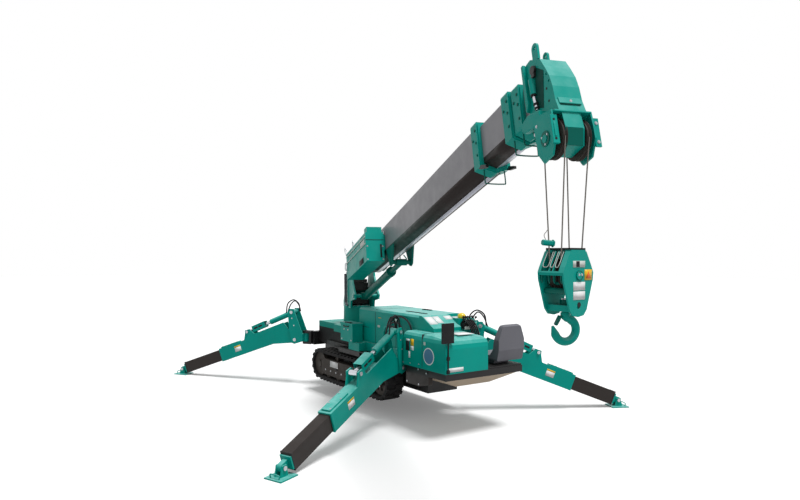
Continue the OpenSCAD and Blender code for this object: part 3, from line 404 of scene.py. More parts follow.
# Body covers: seams, latches, bolts and bare plates
seams = Piece("cover_seams", "chassis", CH, MATT)
for x in (-520, -1080):
    seams.box(x - 4, x + 4, HOOD_SIDE - 2, HOOD_SIDE + 2, 1010, 1500)
seams.box(-2012, -2006, 660, 692, 900, 1335).box(-2012, -2006, 20, 660, 1338, 1342)
seams.box(-1500, -1000, 205, 235, 1540, 1548).box(-1100, -900, -200, -150, 1539, 1552)
seams.box(-520, -514, -260, 450, 1538, 1542)
seams.box(-330, -40, HOOD_SIDE - 2, HOOD_SIDE + 2, 1240, 1246)
seams.done()
latches = Piece("cover_latches", "chassis", CH, PALE)
for x, z in ((-620, 1290), (-980, 1290)):
    latches.box(x - 30, x + 30, 465, 471, z - 16, z + 16).bar((x, 468, z), (x, 478, z), 9)
latches.box(-2080, -2045, 689, 696, 1200, 1240)
latches.done()
skirt_bolts = Piece("skirt_bolts", "chassis", CH, STEEL)
for x, z in ((-1577, 908), (-1936, 928), (-1738, 915), (-1923, 859), (-2100, 831)):
    skirt_bolts.bolt((x, BODY_SIDE, z), (0, 1, 0), 9, 6)
skirt_bolts.done()
plates = Piece("blank_white_plates", "chassis", CH, WHITE)
plates.extrude([(70, 1339), (340, 1339), (340, 1342.5), (70, 1342.5)], -2340, -2120)
plates.box(-1742, -1700, BODY_SIDE - 1, BODY_SIDE + PLATE, 986, 1075)
plates.box(-1730, -1648, BODY_SIDE - 1, BODY_SIDE + PLATE, 1212, 1240)
plates.box(-1822, -1752, BODY_SIDE - 1, BODY_SIDE + PLATE, 1096, 1152)
plates.box(COVER_REAR - 3.5, COVER_REAR + 1, 400, 664, 903, 955)
plates.done()
badges = Piece("blank_yellow_plates", "chassis", CH, YELLOW)
badges.box(-1822, -1752, BODY_SIDE - 1, BODY_SIDE + PLATE, 1158, 1249)
badges.box(-680, -600, HOOD_SIDE - 2, HOOD_SIDE + 2, 1414, 1424)
badges.done()
disc_edge = Piece("round_plate_edge", "chassis", CH, WHITE)
disc_edge.disc((-2150, 689, 1062), (0, 1, 0), 112, 3, 40)
disc_edge.done()
disc_face = Piece("round_plate_face", "chassis", CH, SLATE)
disc_face.disc((-2150, 691, 1062), (0, 1, 0), 98, 2, 40)
disc_face.done()
darks = Piece("blank_black_plate", "chassis", CH, MATT)
darks.box(-1720, -1640, 689, 692, 1080, 1210)
darks.done()

# Slanted console panel with blank plates
panel = math.degrees(math.atan2(150, 270))
console = CH @ move(-1835, 0, 1465) @ turn(-panel, "Y")
cards = Piece("console_cards", "chassis", console, WHITE)
for y0, y1, x0 in ((318, 452, -58), (202, 306, -38), (-14, 112, 34)):
    cards.box(x0, 122, y0, y1, 0, 3)
cards.done()
cards_2 = Piece("console_right_cards", "chassis", CH, WHITE)
cards_2.box(-1820, -1690, -150, -40, 1500, 1503).box(-1820, -1690, -262, -162, 1500, 1503)
cards_2.done()
lamp_base = Piece("lamp_base", "chassis", CH, MATT)
lamp_base.bar((-1890, -100, 1500), (-1890, -100, 1512), 48)
lamp_base.done()
beacon = Piece("round_lamp", "chassis", CH, LENS)
beacon.ball((-1890, -100, 1528), 60, 0.8)
beacon.done()
levers = Piece("lever_rods", "chassis", CH, STEEL)
knobs = Piece("lever_knobs", "chassis", CH, MATT, 1)
for x, y in ((-2000, -90), (-2015, -135), (-2030, -180), (-2045, -225)):
    levers.bar((-1980, y, 1430), (x, y, 1515), 5)
    knobs.ball((x, y, 1520), 17)
levers.done()
knobs.done()
cables = Piece("console_cables", "chassis", CH, HOSE)
for i in range(5):
    y = -60 - i * 30
    cables.tube([(-1930, y, 1440), (-1990, y - 10, 1480), (-2060, y - 40, 1400), (-2085, y - 70, 1250),
        (-2040, y - 70, 1050), (-1990, y - 60, 910)], 10)
cables.done()
lever_case = Piece("lever_case", "chassis", CH, PALE, 3)
lever_case.box(-2010, -1940, -290, -60, 1352, 1392)
lever_case.done()

# Hose loops on the near side, from the deck to the arm
loops = Piece("hose_loops", "chassis", CH, HOSE)
loops.tube([(-921, 480, 1240), (-945, 485, 1330), (-1040, 492, 1445), (-1179, 495, 1492),
    (-1330, 495, 1478), (-1440, 495, 1420), (-1487, 490, 1340), (-1500, 485, 1240)], 12)
loops.tube([(-930, 520, 1230), (-970, 525, 1330), (-1080, 530, 1392), (-1180, 530, 1402),
    (-1280, 530, 1372), (-1330, 525, 1300), (-1345, 520, 1180)], 11)
loops.tube([(-960, 560, 1200), (-1020, 562, 1300), (-1150, 565, 1345), (-1260, 560, 1290),
    (-1300, 555, 1180)], 10)
loops.done()
stay = Piece("hose_stay", "chassis", CH, MATT)
stay.bar((-1141, 500, 1300), (-1141, 500, 1480), 9).box(-1160, -1122, 488, 512, 1395, 1440)
stay.done()
stay_mark = Piece("hose_stay_plate", "chassis", CH, PALE)
stay_mark.box(-1162, -1128, 512, 516, 1405, 1450)
stay_mark.done()

# Storage box, reflector and step
reflector = Piece("side_reflector", "chassis", CH, WHITE, 3)
reflector.box(172, 196, 560, 660, 1040, 1205)
reflector.done()
holder = Piece("reflector_holder", "chassis", CH, GREEN_IN_SHADE, 2)
holder.box(172, 185, 520, 560, 1020, 1215).box(172, 230, 480, 500, 1000, 1180)
holder.done()
box_lid = Piece("box_lid", "chassis", CH, GREEN, 6)
box_lid.box(-212, 184, 490, 700, 1262, 1300)
box_lid.done()
handle = Piece("box_handle", "chassis", CH, MATT)
handle.box(-150, 20, 660, 706, 1300, 1312).tube([(-90, 700, 1256), (-90, 712, 1240), (40, 712, 1240),
    (40, 700, 1256)], 7)
handle.done()
box_bolts = Piece("box_bolts", "chassis", CH, STEEL)
for x, z in ((-160, 1030), (130, 1030), (-60, 1190), (60, 1190)):
    box_bolts.bolt((x, BODY_SIDE, z), (0, 1, 0), 9, 6)
box_bolts.done()
sill = Piece("hood_sill", "chassis", CH, GREEN, 6)
sill.box(-1180, 34, 300, 505, 872, 1012)
sill.done()
sill_bolts = Piece("sill_bolts", "chassis", CH, STEEL)
for x in (-40, -500, -960):
    sill_bolts.bolt((x, 505, 940), (0, 1, 0), 9, 6)
sill_bolts.done()
deck_plate = Piece("deck_tread", "chassis", CH, BLACK, 2)
deck_plate.box(-1180, 330, 440, 640, 858, 871)
for i in range(34):
    deck_plate.box(-1160 + i * 44, -1140 + i * 44, 520, 630, 870, 876)
deck_plate.done()
side_low = Piece("lower_side_panel", "chassis", CH, BOX, 5)
side_low.prism([(-1560, 792), (-2075, 792), (-2075, 660), (-1860, 612), (-1560, 612)], 560, 628)
side_low.done()
low_bolts = Piece("lower_panel_bolts", "chassis", CH, STEEL)
for x, z in ((-1590, 640), (-1855, 640)):
    low_bolts.bolt((x, 628, z), (0, 1, 0), 9, 6)
low_bolts.done()
step = Piece("belly_step", "chassis", CH, BLACK, 3)
step.box(-2140, -1960, -330, 170, 612, 640).box(-2140, -2122, -330, 170, 612, 672)
step.done()
step_teeth = Piece("belly_step_teeth", "chassis", CH, MATT)
for i in range(11):
    step_teeth.box(-2143, -2120, -320 + i * 44, -300 + i * 44, 612, 634)
step_teeth.done()

# Mirror glass
glass = Piece("mirror_face", "chassis", CH, GLASS)
glass.box(COVER_REAR - 3, COVER_REAR - 0.5, 592, 748, 1345, 1513)
glass.done()

# Track frame plates
for side, tag in ((1, "left"), (-1, "right")):
    y = side * (TRACK_Y + TRACK_HALF)
    face = Piece("track_side_" + tag, "chassis", CH, IRON, 3)
    face.prism([(-880, 550), (-780, 612), (760, 612), (880, 550), (880, 450), (760, 345), (-760, 345),
        (-880, 450)],
               min(y, y + side * 62), max(y, y + side * 62))
    face.done()
    marks = Piece("track_slots_" + tag, "chassis", CH, MATT)
    for x in (-430, -60, 300):
        marks.box(x, x + 120, min(y + side * 60, y + side * 64), max(y + side * 60, y + side * 64), 470,
            500)
    marks.done()
    nuts = Piece("track_bolts_" + tag, "chassis", CH, STEEL)
    for i in range(9):
        nuts.bolt((-720 + i * 180, y + side * 62, 430), (0, side, 0), 10, 7)
    for k in range(6):
        a = 2 * math.pi * k / 6
        nuts.bolt((-940 + 55 * math.cos(a), side * (TRACK_Y + 128), 500 + 55 * math.sin(a)), (0, side, 0),
            9, 5)
    nuts.done()
board = Piece("track_blank_plate", "chassis", CH, WHITE)
board.box(300, 560, TRACK_Y + 122, TRACK_Y + 125, 500, 600)
board.done()

# Post: flange bolts, valve block, hoses
flange = Piece("post_flange_bolts", "post", POST, STEEL)
for k in range(24):
    a = 2 * math.pi * k / 24
    flange.bolt((236 * math.cos(a), 236 * math.sin(a), 1499), (0, 0, 1), 11, 9)
for s in (-1, 1):
    for x, z in ((FOOT_X, FOOT_Z), (LOW_X, LOW_Z)):
        for k in range(3):
            a = 2 * math.pi * k / 3
            flange.bolt((x + 24 * math.cos(a), s * 229, z + 24 * math.sin(a)), (0, s, 0), 6, 5)
flange.done()
valves = Piece("post_valve_block", "post", POST, BLACK, 3)
valves.box(-60, 120, -150, 150, 1760, 1900).box(-20, 140, -130, 130, 1905, 1960)
valves.done()
fittings = Piece("post_fittings", "post", POST, BRASS)
for i in range(5):
    fittings.bar((-60, -120 + i * 60, 1800), (-95, -120 + i * 60, 1800), 13,
        6).bar((-60, -120 + i * 60, 1860), (-90, -120 + i * 60, 1860), 13, 6)
fittings.done()
post_hoses = Piece("post_hoses", "post", POST, HOSE)
for i in range(5):
    y = -120 + i * 60
    post_hoses.tube([(-90, y, 1800), (-150, y * 0.8, 1780), (-140, y * 0.6, 1640), (-60, y * 0.5, 1580)],
        11)
    post_hoses.tube([(-88, y, 1860), (-150, y * 0.9, 1900), (-110, y * 0.8, 2010), (-20, y * 0.7, 2060)],
        10)
post_hoses.done()
sleeve = Piece("post_spiral_sleeve", "post", POST, PALE)
sleeve.coil((-110, 90, 1700), (-100, 80, 2080), 30, 8, 22)
sleeve.done()
sleeve_2 = Piece("side_spiral_sleeve", "post", POST, SHELL)
sleeve_2.coil((90, -245, 1560), (60, -245, 2050), 20, 7, 30)
sleeve_2.tube([(90, -245, 1560), (140, -240, 1530), (170, -225, 1500)], 19)
sleeve_2.done()

# Winch housing
face_bolts = Piece("housing_bolts", "boom", BOOM, STEEL)
for y in (-400, -176):
    for z in (-420, -230):
        face_bolts.bolt((2072, y, z), (1, 0, 0), 9, 6)
face_bolts.done()
housing_marks = Piece("housing_slot", "boom", BOOM, MATT)
housing_marks.box(2070, 2075, -215, -190, -390, -200).box(2070, 2074, -420, -156, -142, -134)
housing_marks.box(1640, 1900, -423, -419, -430, -350)
housing_marks.done()
rails = Piece("housing_rails", "boom", BOOM, PALE)
rails.bar((790, -426, -190), (2060, -426, -190), 7).bar((790, -426, -90), (2060, -426, -90), 7)
rails.box(1750, 1990, -423, -419, -170, -110)
rails.done()
housing_hooks = Piece("housing_hooks", "boom", BOOM, STEEL)
housing_hooks.tube([(820, -430, -60), (800, -445, 20), (850, -445, 60), (880, -430, -20)], 7)
housing_hooks.tube([(1180, -400, -28), (1170, -400, 60), (1220, -400, 80), (1250, -400, -28)], 7)
housing_hooks.bar((790, -430, -330), (760, -430, -330), 8).hoop((800, -440, -240), (0, 1, 0), 60, 7)
housing_hooks.done()
cylinder = Piece("housing_end_cylinder", "boom", BOOM, GREEN, 2)
cylinder.bar((2030, -150, -250), (2030, -150, -60), 34, 24).box(1990, 2070, -180, -136, -280, -240)
cylinder.done()
ring = Piece("housing_end_ring", "boom", BOOM, STEEL)
ring.hoop((2030, -150, -30), (0, 1, 0), 28, 8)
ring.done()

# Boom: the bottom fold's two lower faces, one painted in shade and one with a painted highlight, rope below
# and ladder hoops
for k, (d0, d1, body) in enumerate(((1100, BASE_END - 121, "boom"),
    (BASE_END + 17, END_2 - 121, "section_2"))):
    inset = NEST * k
    w, low = BOOM_HALF - inset, BOOM_TOP - inset - (BOOM_DEEP - 1.7 * inset)
    # This face is painted in shade, with a painted reflection of the green body towards the foot.
    dark = Piece("painted_shade_fold_face_%d" % (k + 1), body, BOOM, BOOM_UNDERSIDE_SHADE)
    dark.extrude([(-w, low), (0, low - 45), (0, low - 47), (-w - 1, low - 2), (-w - 1, low + 52),
        (-w, low + 52)], d0, d1)
    dark.done()
    # This face is painted pale: a painted highlight for the light the floor throws onto it.
    highlight_face = Piece("painted_highlight_fold_face_%d" % (k + 1), body, BOOM, BOOM_UNDERSIDE_HIGHLIGHT)
    highlight_face.extrude([(w, low), (0, low - 45), (0, low - 47), (w + 1, low - 2)], d0, d1)
    highlight_face.done()
rope_line = Piece("boom_lower_rope", "boom", BOOM, ROPE)
rope_line.bar((1300, 40, -396), (BASE_END, 40, -396), 6, 8)
rope_line.done()
under = Piece("boom_hoops", "boom", BOOM, GREEN_IN_SHADE)
for d in (1500, 1980):
    under.tube([(d, 100, -330), (d, 100, -430), (d + 5, 150, -445), (d + 10, 190, -400),
        (d + 10, 150, -335)], 8)
under.done()

# Collars: bolts, tip guard and rope hoops
for k, (end, body) in enumerate(((BASE_END, "boom"), (END_2, "section_2"), (END_3, "section_3"))):
    half = BOOM_HALF - k * NEST + COLLAR_OUT
    heads = Piece("collar_bolts_%d" % (k + 1), body, BOOM, GREEN_IN_SHADE)
    for s in (-1, 1):
        for z in (20 - k * 16, -100, -220):
            heads.bolt((end - 30, s * half, z), (0, s, 0), 10, 7)
        heads.bolt((end - 90, s * half, -60), (0, s, 0), 10, 7)
    for y in (-70, 0, 70):
        heads.bolt((end - 60, y, 96 - k * 16), (0, 0, 1), 10, 7)
    heads.done()
guard = Piece("boom_tip_guard", "boom", BOOM, BLACK, 3)
guard.prism([(BASE_END - 40, -350), (BASE_END + 10, -370), (BASE_END + 110, -392), (BASE_END + 110, -366),
    (BASE_END + 10, -330)], -150, -120)
guard.prism([(BASE_END - 40, -350), (BASE_END + 10, -370), (BASE_END + 110, -392), (BASE_END + 110, -366),
    (BASE_END + 10, -330)], 120, 150)
guard.done()
for k, (end, body) in enumerate(((BASE_END, "boom"), (END_2, "section_2"), (END_3, "section_3"))):
    loop = Piece("rope_hoop_%d" % (k + 1), body, BOOM, GREEN_IN_SHADE)
    z0, z1 = -350 + k * 12, -470 + k * 20
    x0 = end - 30
    loop.tube([(x0, -100, z0), (x0, -100, z1), (x0, -80, z1 - 20), (x0, 80, z1 - 20), (x0, 100, z1),
        (x0, 100, z0)], 6, 8, 3)
    loop.done()

# Boom head: flap with a painted shadow line under it, side opening painted in shade with its rod, box arm,
# hub and flanges
E = END_4
flap = Piece("head_flap", "section_4", BOOM, GREEN, 3)
flap.prism([(E + 336, -298), (E + 345, -298), (E + 360, -350), (E + 348, -354)], -90, 90)
flap.done()
# A painted shadow line under the flap's edge.
flap_line = Piece("head_flap_shadow_line", "section_4", BOOM, DUSK)
flap_line.prism([(E + 346, -353), (E + 356, -351), (E + 360, -360), (E + 350, -362)], -84, 78)
flap_line.done()
# The side opening is a thin sheet painted in shade.
opening_shade = Piece("head_side_opening_shade", "section_4", BOOM, DUSK)
opening = [(E + 128, 52), (E + 170, 32), (E + 244, -30), (E + 186, -306), (E + 100, -262)]
opening_shade.prism(opening, -CHEEK_Y - 3, -CHEEK_Y - 0.5)
opening_shade.prism(opening, CHEEK_Y + 0.5, CHEEK_Y + 3)
opening_shade.done()
rod = Piece("head_rod", "section_4", BOOM, CHROME)
rod_rings = Piece("head_rod_rings", "section_4", BOOM, MATT)
knuckle = Piece("head_knuckle", "section_4", BOOM, BLACK, 3)
rod_case = Piece("head_rod_case", "section_4", BOOM, GREEN, 2)
for s in (-1, 1):
    y = s * 124
    rod.bar((E + 92, y, -160), (E + 116, y, -290), 13, 20)
    rod_rings.bar((E + 90, y, -150), (E + 94, y, -166), 22, 20).bar((E + 106, y, -232), (E + 109, y, -246),
        20, 20)
    rod_rings.bar((E + 113, y, -268), (E + 116, y, -282), 18, 20)
    knuckle.bar((E + 120, s * 111, 40), (E + 120, s * 132, 40), 34, 24).box(E + 100, E + 140, s * 121 - 10,
        s * 121 + 10, -20, 40)
    rod_case.bar((E + 84, y, -20), (E + 92, y, -150), 24, 24)
for piece in (rod, rod_rings, knuckle, rod_case):
    piece.done()
arm_box = Piece("head_box_arm", "section_4", BOOM, GREEN, 5)
arm_box.prism([(E - 82, -352), (E - 60, -322), (E + 30, -296), (E + 190, -330), (E + 190, -412),
    (E + 72, -424), (E - 60, -404)], -162, -CHEEK_Y)
arm_box.done()
plate_1 = Piece("head_rear_plate", "section_4", BOOM, GREEN, 4)
plate_1.prism([(E - 24, 148), (E + 6, 150), (E + 20, -190), (E - 14, -250), (E - 24, -240)], -136, -CHEEK_Y)
plate_1.prism([(E - 24, 148), (E + 6, 150), (E + 20, -190), (E - 14, -250), (E - 24, -240)], CHEEK_Y, 136)
plate_1.done()
anchor = Piece("rope_anchor", "section_4", BOOM, GREEN_IN_SHADE, 3)
anchor.prism([(E + 20, -425), (E + 90, -425), (E + 84, -486), (E + 40, -500)], -128, -112)
anchor.prism([(E + 20, -425), (E + 90, -425), (E + 84, -486), (E + 40, -500)], -92, -76)
anchor.done()
anchor_pin = Piece("rope_anchor_pin", "section_4", BOOM, STEEL)
anchor_pin.bar((E + 58, -136, -465), (E + 58, -68, -465), 13).bar((E + 58, -102, -465),
    (E + 30, -102, -400), 11)
anchor_pin.done()
head_holes = Piece("head_holes", "section_4", BOOM, MATT)
head_bolts = Piece("head_bolts", "section_4", BOOM, STEEL)
for s in (-1, 1):
    for x, z in ((E + 252, -184), (E + 262, -288), (E + 286, -382)):
        head_holes.disc((x, s * 109.8, z), (0, s, 0), 10, 1.6)
    head_bolts.bolt((AXLE_D - 95, s * 165, -HEAD_DROP + 140), (0, s, 0), 9, 6)
    for k in range(3):
        a = 2 * math.pi * k / 3 + 0.5
        head_bolts.bolt((AXLE_D + 42 * math.cos(a), s * 171, -HEAD_DROP + 42 * math.sin(a)), (0, s, 0), 6,
            5)
head_bolts.bolt((E + 353, 4, -330), (1, 0, -0.2), 9, 6)
for z in (91, -54):
    head_bolts.bolt((AXLE_D + 112, 188, -HEAD_DROP + z), (1, 0, 0), 10, 7)
    head_holes.disc((AXLE_D + 122.5, -158, -HEAD_DROP + z + 5), (1, 0, 0), 9, 1.5)
head_holes.done()
head_bolts.done()
hubs = Piece("head_hubs", "section_4", BOOM, GREEN_IN_SHADE, 2)
for s in (-1, 1):
    hubs.bar((AXLE_D, s * 164, -HEAD_DROP), (AXLE_D, s * 172, -HEAD_DROP), 58, 32)
hubs.done()
front = Piece("housing_front_strip", "section_4", BOOM, GREEN, 3)
front.box(AXLE_D + 96, AXLE_D + 122, -182, -129, -HEAD_DROP - 84, -HEAD_DROP + 134)
front.done()
ledge = Piece("housing_front_ledge", "section_4", BOOM, GREEN, 3)
ledge.prism([(E + 300, -404), (E + 372, -410), (E + 374, -424), (E + 300, -428)], -150, 150)
ledge.done()
block_front = Piece("housing_block_front", "section_4", BOOM, GREEN, 4)
block_front.prism([(AXLE_D + 116, 172 - HEAD_DROP), (AXLE_D + 122, 172 - HEAD_DROP),
    (AXLE_D + 146, 30 - HEAD_DROP), (AXLE_D + 138, 28 - HEAD_DROP)], -88, 55)
block_front.done()
# The slant below the block front takes the shaded copy of the green: painted shade.
block_slant = Piece("housing_block_slant", "section_4", BOOM, GREEN_IN_SHADE, 3)
block_slant.prism([(AXLE_D + 138, 28 - HEAD_DROP), (AXLE_D + 146, 28 - HEAD_DROP),
    (AXLE_D + 116, -94 - HEAD_DROP), (AXLE_D + 106, -92 - HEAD_DROP)], -88, 55)
block_slant.done()
slot_dark = Piece("housing_slot_shade", "section_4", BOOM, MATT)
for y0, y1 in ((-129, -88), (55, 102)):
    slot_dark.prism([(AXLE_D - 40, 160 - HEAD_DROP), (AXLE_D + 90, 156 - HEAD_DROP),
        (AXLE_D + 92, 150 - HEAD_DROP), (AXLE_D - 40, 154 - HEAD_DROP)], y0, y1)
slot_dark.done()

# Stop weight on one fall, a hexagonal bar with a collar
falls_frame = POST @ move(HEAD_X, 0, HEAD_Z)
weight = Piece("stop_weight", "falls", falls_frame, GREEN, 2)
weight.bar((-37, -166, -742), (-37, -72, -750), 22, 6).bar((-37, -86, -749), (-37, -76, -750), 29, 6)
weight.bar((-37, -113, -730), (-37, -113, -764), 16, 16)
weight.done()
weight_wire = Piece("stop_weight_wire", "falls", falls_frame, ROPE)
weight_wire.tube([(-37, -140, -722), (-40, -150, -690), (-30, -138, -664), (-38, -122, -650)], 2.5, 6)
weight_wire.done()

# Hook block: bare plates, boss, hole, top plate, slot rims with painted highlights, cross tubes and nut
block_plates = Piece("block_blank_plates", "block", BLOCK, WHITE)
block_yellow = Piece("block_yellow_plates", "block", BLOCK, YELLOW)
block_mark = Piece("block_warning_triangle", "block", BLOCK, ORANGE)
block_grey = Piece("block_grey_plates", "block", BLOCK, PALE)
block_dark = Piece("block_dark_marks", "block", BLOCK, MATT)
# Hubs, ribs, cross tubes, nut and latch take the shaded copy of the green: painted shade.
block_hubs = Piece("block_hubs", "block", BLOCK, GREEN_IN_SHADE, 3)
for s in (-1, 1):
    y0, y1 = sorted((s * (BLOCK_FACE + 0.5), s * (BLOCK_FACE + 3.5)))
    block_plates.box(-71, 59, y0, y1, -106, -46).box(-71, 59, y0, y1, -172, -113)
    block_yellow.box(-149, -67, y0, y1, -34, 42)
    t0, t1 = sorted((s * 115, s * 116.5))
    block_mark.prism([(-138, -22), (-78, -22), (-108, 32)], t0, t1)
    block_grey.box(-71, 63, y0, y1, 58, 104)
    block_dark.box(-8, 30, t0, t1, 60, 102)
    block_dark.disc((-6, s * 112.8, -208), (0, s, 0), 19, 2)
    block_hubs.bar((-8, s * BLOCK_FACE, 0), (-8, s * 122, 0), 36, 32)
for piece in (block_plates, block_yellow, block_mark, block_grey, block_dark, block_hubs):
    piece.done()
hub_bolts = Piece("block_hub_bolts", "block", BLOCK, STEEL)
for s in (-1, 1):
    for dx in (-16, 14):
        hub_bolts.bolt((dx - 8, s * 121, 6), (0, s, 0), 7, 6)
hub_bolts.done()
cap = Piece("block_top_plate", "block", BLOCK, MATT, 2)
cap.box(-86, 86, -108, -62, 182, 196).box(-86, 86, 62, 108, 182, 196).box(-80, 80, -62, 62, 184, 196)
cap.done()
# Pale tubes along the slot rims are painted highlights on the slot edges.
rims = Piece("block_slot_rim_highlights", "block", BLOCK, PALE)
for s in (-1, 1):
    for y, out in ((-45, 20 if s > 0 else 0), (0, 0), (45, 0 if s > 0 else 20)):
        a = y - 15 - (out if s > 0 else 0)
        b = y + 15 + (0 if s > 0 else out)
        rims.tube([(s * 96, a, 168), (s * 148, a, 74), (s * 153, (a + b) / 2, 58), (s * 148, b, 74),
            (s * 96, b, 168)], 2.6, 8, 6)
rims.done()
ribs = Piece("block_edge_ribs", "block", BLOCK, GREEN_IN_SHADE, 2)
for s in (-1, 1):
    for y in (-84, -22, 22, 84):
        ribs.prism([(s * 146, 58), (s * 164, 20), (s * 160, -40), (s * 146, -60), (s * 138, 10)], y - 5,
            y + 5)
ribs.done()
tubes = Piece("block_cross_tubes", "block", BLOCK, GREEN_IN_SHADE, 2)
for x, z, r in ((96, -112, 22), (-96, -112, 22), (70, -60, 12)):
    tubes.bar((x, -100, z), (x, 100, z), r, 24)
tubes.done()
nut = Piece("hook_nut", "block", BLOCK, GREEN_IN_SHADE, 3)
nut.bar((0, 0, -216), (0, 0, -178), 40, 8)
nut.done()
nut_pin = Piece("hook_nut_pin", "block", BLOCK, STEEL)
nut_pin.bar((0, 0, -178), (0, 0, -168), 16).bar((34, 0, -176), (34, 0, -166), 7)
nut_pin.done()
latch = Piece("hook_latch", "hook", HOOK, GREEN_IN_SHADE, 2)
latch.extrude([(-30, -296), (-52, -290), (-86, -352), (-78, -364), (-68, -360)], -15, 15)
latch.done()
neck = Piece("hook_neck", "hook", HOOK, GREEN, 6)
neck.tube([(0, 0, -290), (0, 6, -304), (0, 34, -318), (0, 62, -340)], 31, 20, 6)
neck.done()

# Outriggers: pins, treads, labels, ram guards, hoses, caps and foot handles
for key, leg in LEGS.items():
    arm, out, pin = leg["arm"], leg["out"], leg["pin"]
    box_body, arm_body, swing_body = "beam_" + key, "arm_" + key, "bracket_" + key
    top = BOX_UP + 125
    caps = Piece("pin_caps_" + key, arm_body, arm, STEEL)
    for s in (-1, 1):
        caps.bar((RAM_EYE_X, s * 104, RAM_EYE_Z), (RAM_EYE_X, s * 112, RAM_EYE_Z), 26, 24)
        caps.bolt((RAM_EYE_X, s * 112, RAM_EYE_Z), (0, s, 0), 9,
            6)
    for i in range(4):
        caps.bolt((REACH - 400 + i * 110, 50 if i % 2 else -50, top + 22), (0, 0, 1), 9, 6)
    caps.done()
    swing = Piece("bracket_pins_" + key, swing_body, out, STEEL)
    for s in (-1, 1):
        for x, z in ((ARM_S, ARM_Z), (RAM_S, RAM_Z)):
            swing.bar((x, s * 128, z), (x, s * 136, z), 30, 24).bolt((x, s * 136, z), (0, s, 0), 9, 6)
        swing.bolt((200, s * 119, 1080), (0, s, 0), 9, 6).bolt((240, s * 119, 1210), (0, s, 0), 9, 6)
    swing.done()
    tread = Piece("arm_tread_" + key, arm_body, arm, GREEN, 4)
    tread.box(REACH - 30, REACH - 2, -98, 98, BOX_UP - 128, BOX_UP + 128)
    tread.done()
    label = Piece("arm_label_" + key, arm_body, arm, WHITE)
    strip = Piece("arm_yellow_label_" + key, arm_body, arm, YELLOW)
    for s in (-1, 1):
        y0, y1 = (95, 96.5) if s > 0 else (-96.5, -95)
        label.box(1150, 1290, y0, y1, BOX_UP - 40, BOX_UP + 40)
        strip.box(1150, 1290, y0, y1 + 0.4 if s > 0 else y1, BOX_UP + 42, BOX_UP + 66)
    label.done()
    strip.done()
    low_eye = out.inverted() @ arm @ Vector((RAM_EYE_X, 0, RAM_EYE_Z))
    top_eye = Vector((RAM_S, 0, RAM_Z))
    ram_reach = (low_eye - top_eye).length
    line = out @ Matrix.Translation(top_eye) @ (low_eye - top_eye).to_track_quat("X",
        "Z").to_matrix().to_4x4()
    shield = Piece("ram_guard_" + key, "ram_rod_" + key, line, GREEN, 3)
    window = Piece("ram_guard_window_" + key, "ram_rod_" + key, line, MATT)
    shield.box(ram_reach - 390, ram_reach - 105, -66, 66, 58, 64)
    for s in (-1, 1):
        y0, y1 = sorted((s * 58, s * 66))
        shield.box(ram_reach - 390, ram_reach - 105, y0, y1, -52, 62)
        y0, y1 = sorted((s * 65.5, s * 66.8))
        window.box(ram_reach - 330, ram_reach - 250, y0, y1, -8, 22).box(ram_reach - 230, ram_reach - 150,
            y0, y1, -8, 22)
    shield.done()
    window.done()
    arcs = Piece("bracket_hoses_" + key, swing_body, out, HOSE)
    for y, low, wide in ((30, 0, 0), (-25, 24, 30)):
        arcs.tube([(130, y, 1330), (140 + wide, y, 1470 - low), (250, y, 1545 - low),
            (370 - wide, y, 1470 - low), (400, y, 1300)], 11)
    arcs.done()
    end_cap = Piece("beam_cap_" + key, box_body, arm, BLACK, 3)
    end_cap.box(pin - 128, pin - 112, -80, 80, BOX_UP - 110, BOX_UP + 110)
    end_cap.done()
    foot_heads = Piece("foot_pin_" + key, box_body, out, STEEL)
    for s in (-1, 1):
        foot_heads.bar((leg["span"], s * 55, 105), (leg["span"], s * 62, 105), 26, 20)
    foot_heads.done()
    grip = Piece("foot_handle_" + key, box_body, out, GREEN)
    grip.tube([(leg["span"] + 100, -60, 15), (leg["span"] + 105, -58, 55), (leg["span"] + 105, 58, 55),
        (leg["span"] + 100, 60, 15)], 7)
    grip.done()

# Floor, light and camera
floor_mesh = bpy.data.meshes.new("floor")
floor_mesh.from_pydata([(-60, -60, 0), (60, -60, 0), (60, 60, 0), (-60, 60, 0)], [], [(0, 1, 2, 3)])
floor = bpy.data.objects.new("floor", floor_mesh)
bpy.context.scene.collection.objects.link(floor)
pale = bpy.data.materials.new("pale_floor")
pale.use_nodes = True
ft = pale.node_tree
ft.nodes.clear()


def seen_directly(tree):
    """One where the camera sees a surface, also in metal or through glass."""
    rays = tree.nodes.new("ShaderNodeLightPath")
    total = rays.outputs["Is Camera Ray"]
    for ray in ("Is Glossy Ray", "Is Transmission Ray"):
        most = tree.nodes.new("ShaderNodeMath")
        most.operation = "MAXIMUM"
        tree.links.new(total, most.inputs[0])
        tree.links.new(rays.outputs[ray], most.inputs[1])
        total = most.outputs["Value"]
    return total


dull = ft.nodes.new("ShaderNodeBsdfDiffuse")
dull.inputs["Color"].default_value = (FLOOR_DULL, FLOOR_DULL, FLOOR_DULL, 1)
clear = ft.nodes.new("ShaderNodeBsdfDiffuse")
clear.inputs["Color"].default_value = (FLOOR_SEEN, FLOOR_SEEN, FLOOR_SEEN, 1)
lift = ft.nodes.new("ShaderNodeEmission")
lift.inputs["Strength"].default_value = FLOOR_LIFT
both = ft.nodes.new("ShaderNodeAddShader")
ft.links.new(clear.outputs["BSDF"], both.inputs[0])
ft.links.new(lift.outputs["Emission"], both.inputs[1])
pick = ft.nodes.new("ShaderNodeMixShader")
ft.links.new(seen_directly(ft), pick.inputs["Fac"])
ft.links.new(dull.outputs["BSDF"], pick.inputs[1])
ft.links.new(both.outputs["Shader"], pick.inputs[2])
ft.links.new(pick.outputs["Shader"], ft.nodes.new("ShaderNodeOutputMaterial").inputs["Surface"])
floor_mesh.materials.append(pale)

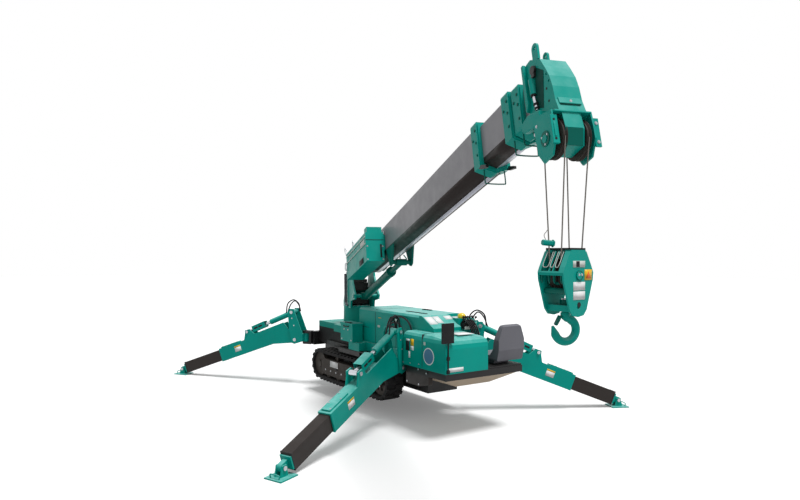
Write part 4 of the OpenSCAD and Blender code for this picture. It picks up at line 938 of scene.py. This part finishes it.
world = bpy.data.worlds.new("studio")
bpy.context.scene.world = world
world.use_nodes = True
wt = world.node_tree
background = wt.nodes["Background"]
background.inputs["Color"].default_value = (1, 1, 1, 1)
background.inputs["Strength"].default_value = SKY_LIGHT
seen = wt.nodes.new("ShaderNodeBackground")
seen.inputs["Color"].default_value = (1, 1, 1, 1)
seen.inputs["Strength"].default_value = 1.0
blend = wt.nodes.new("ShaderNodeMixShader")
wt.links.new(seen_directly(wt), blend.inputs["Fac"])
wt.links.new(background.outputs["Background"], blend.inputs[1])
wt.links.new(seen.outputs["Background"], blend.inputs[2])
wt.links.new(blend.outputs["Shader"], wt.nodes["World Output"].inputs["Surface"])


def lamp(name, kind, energy, direction, size):
    data = bpy.data.lights.new(name, kind)
    data.energy = energy
    if kind == "SUN":
        data.angle = rad(size)
    obj = bpy.data.objects.new(name, data)
    obj.rotation_mode = "QUATERNION"
    obj.rotation_quaternion = Vector(direction).to_track_quat("-Z", "Y")
    bpy.context.scene.collection.objects.link(obj)
    return obj


lamp("key", "SUN", KEY_SUN, (0.3, 0.1, -1.0), 20)
lamp("side", "SUN", SIDE_SUN, (0.9, -0.5, -0.3), 40)

# Camera of the photograph: its place, its line of sight, and its lens in pixels of an 800 wide picture
PICTURE_WIDTH, SENSOR = 800, 36
FOCAL, CENTRE_X, CENTRE_Y = 604.985, 375.579, 253.78
CAMERA_X, CAMERA_Y, CAMERA_Z = -8.41, 5.58, 2.391
YAW, PITCH, ROLL = rad(-32.934), rad(0.084), rad(0.276)
ahead = Vector((math.cos(YAW) * math.cos(PITCH), math.sin(YAW) * math.cos(PITCH), math.sin(PITCH)))
right = Vector((math.sin(YAW), -math.cos(YAW), 0))
up = right.cross(ahead)
right_r = right * math.cos(ROLL) + up * math.sin(ROLL)
up_r = up * math.cos(ROLL) - right * math.sin(ROLL)
cam = bpy.data.objects.new("camera", bpy.data.cameras.new("camera"))
bpy.context.scene.collection.objects.link(cam)
cam.rotation_mode = "QUATERNION"
cam.rotation_quaternion = Matrix((right_r, up_r, -ahead)).transposed().to_quaternion()
cam.location = (CAMERA_X + SHIFT / 1000, CAMERA_Y, CAMERA_Z)
cam.data.sensor_width = SENSOR
cam.data.lens = FOCAL * SENSOR / PICTURE_WIDTH
cam.data.shift_x = (PICTURE_WIDTH / 2 - CENTRE_X) / PICTURE_WIDTH
cam.data.shift_y = (CENTRE_Y - 250) / PICTURE_WIDTH
cam.data.clip_end = 200
scene = bpy.context.scene
scene.camera = cam
scene.view_settings.view_transform = "Standard"
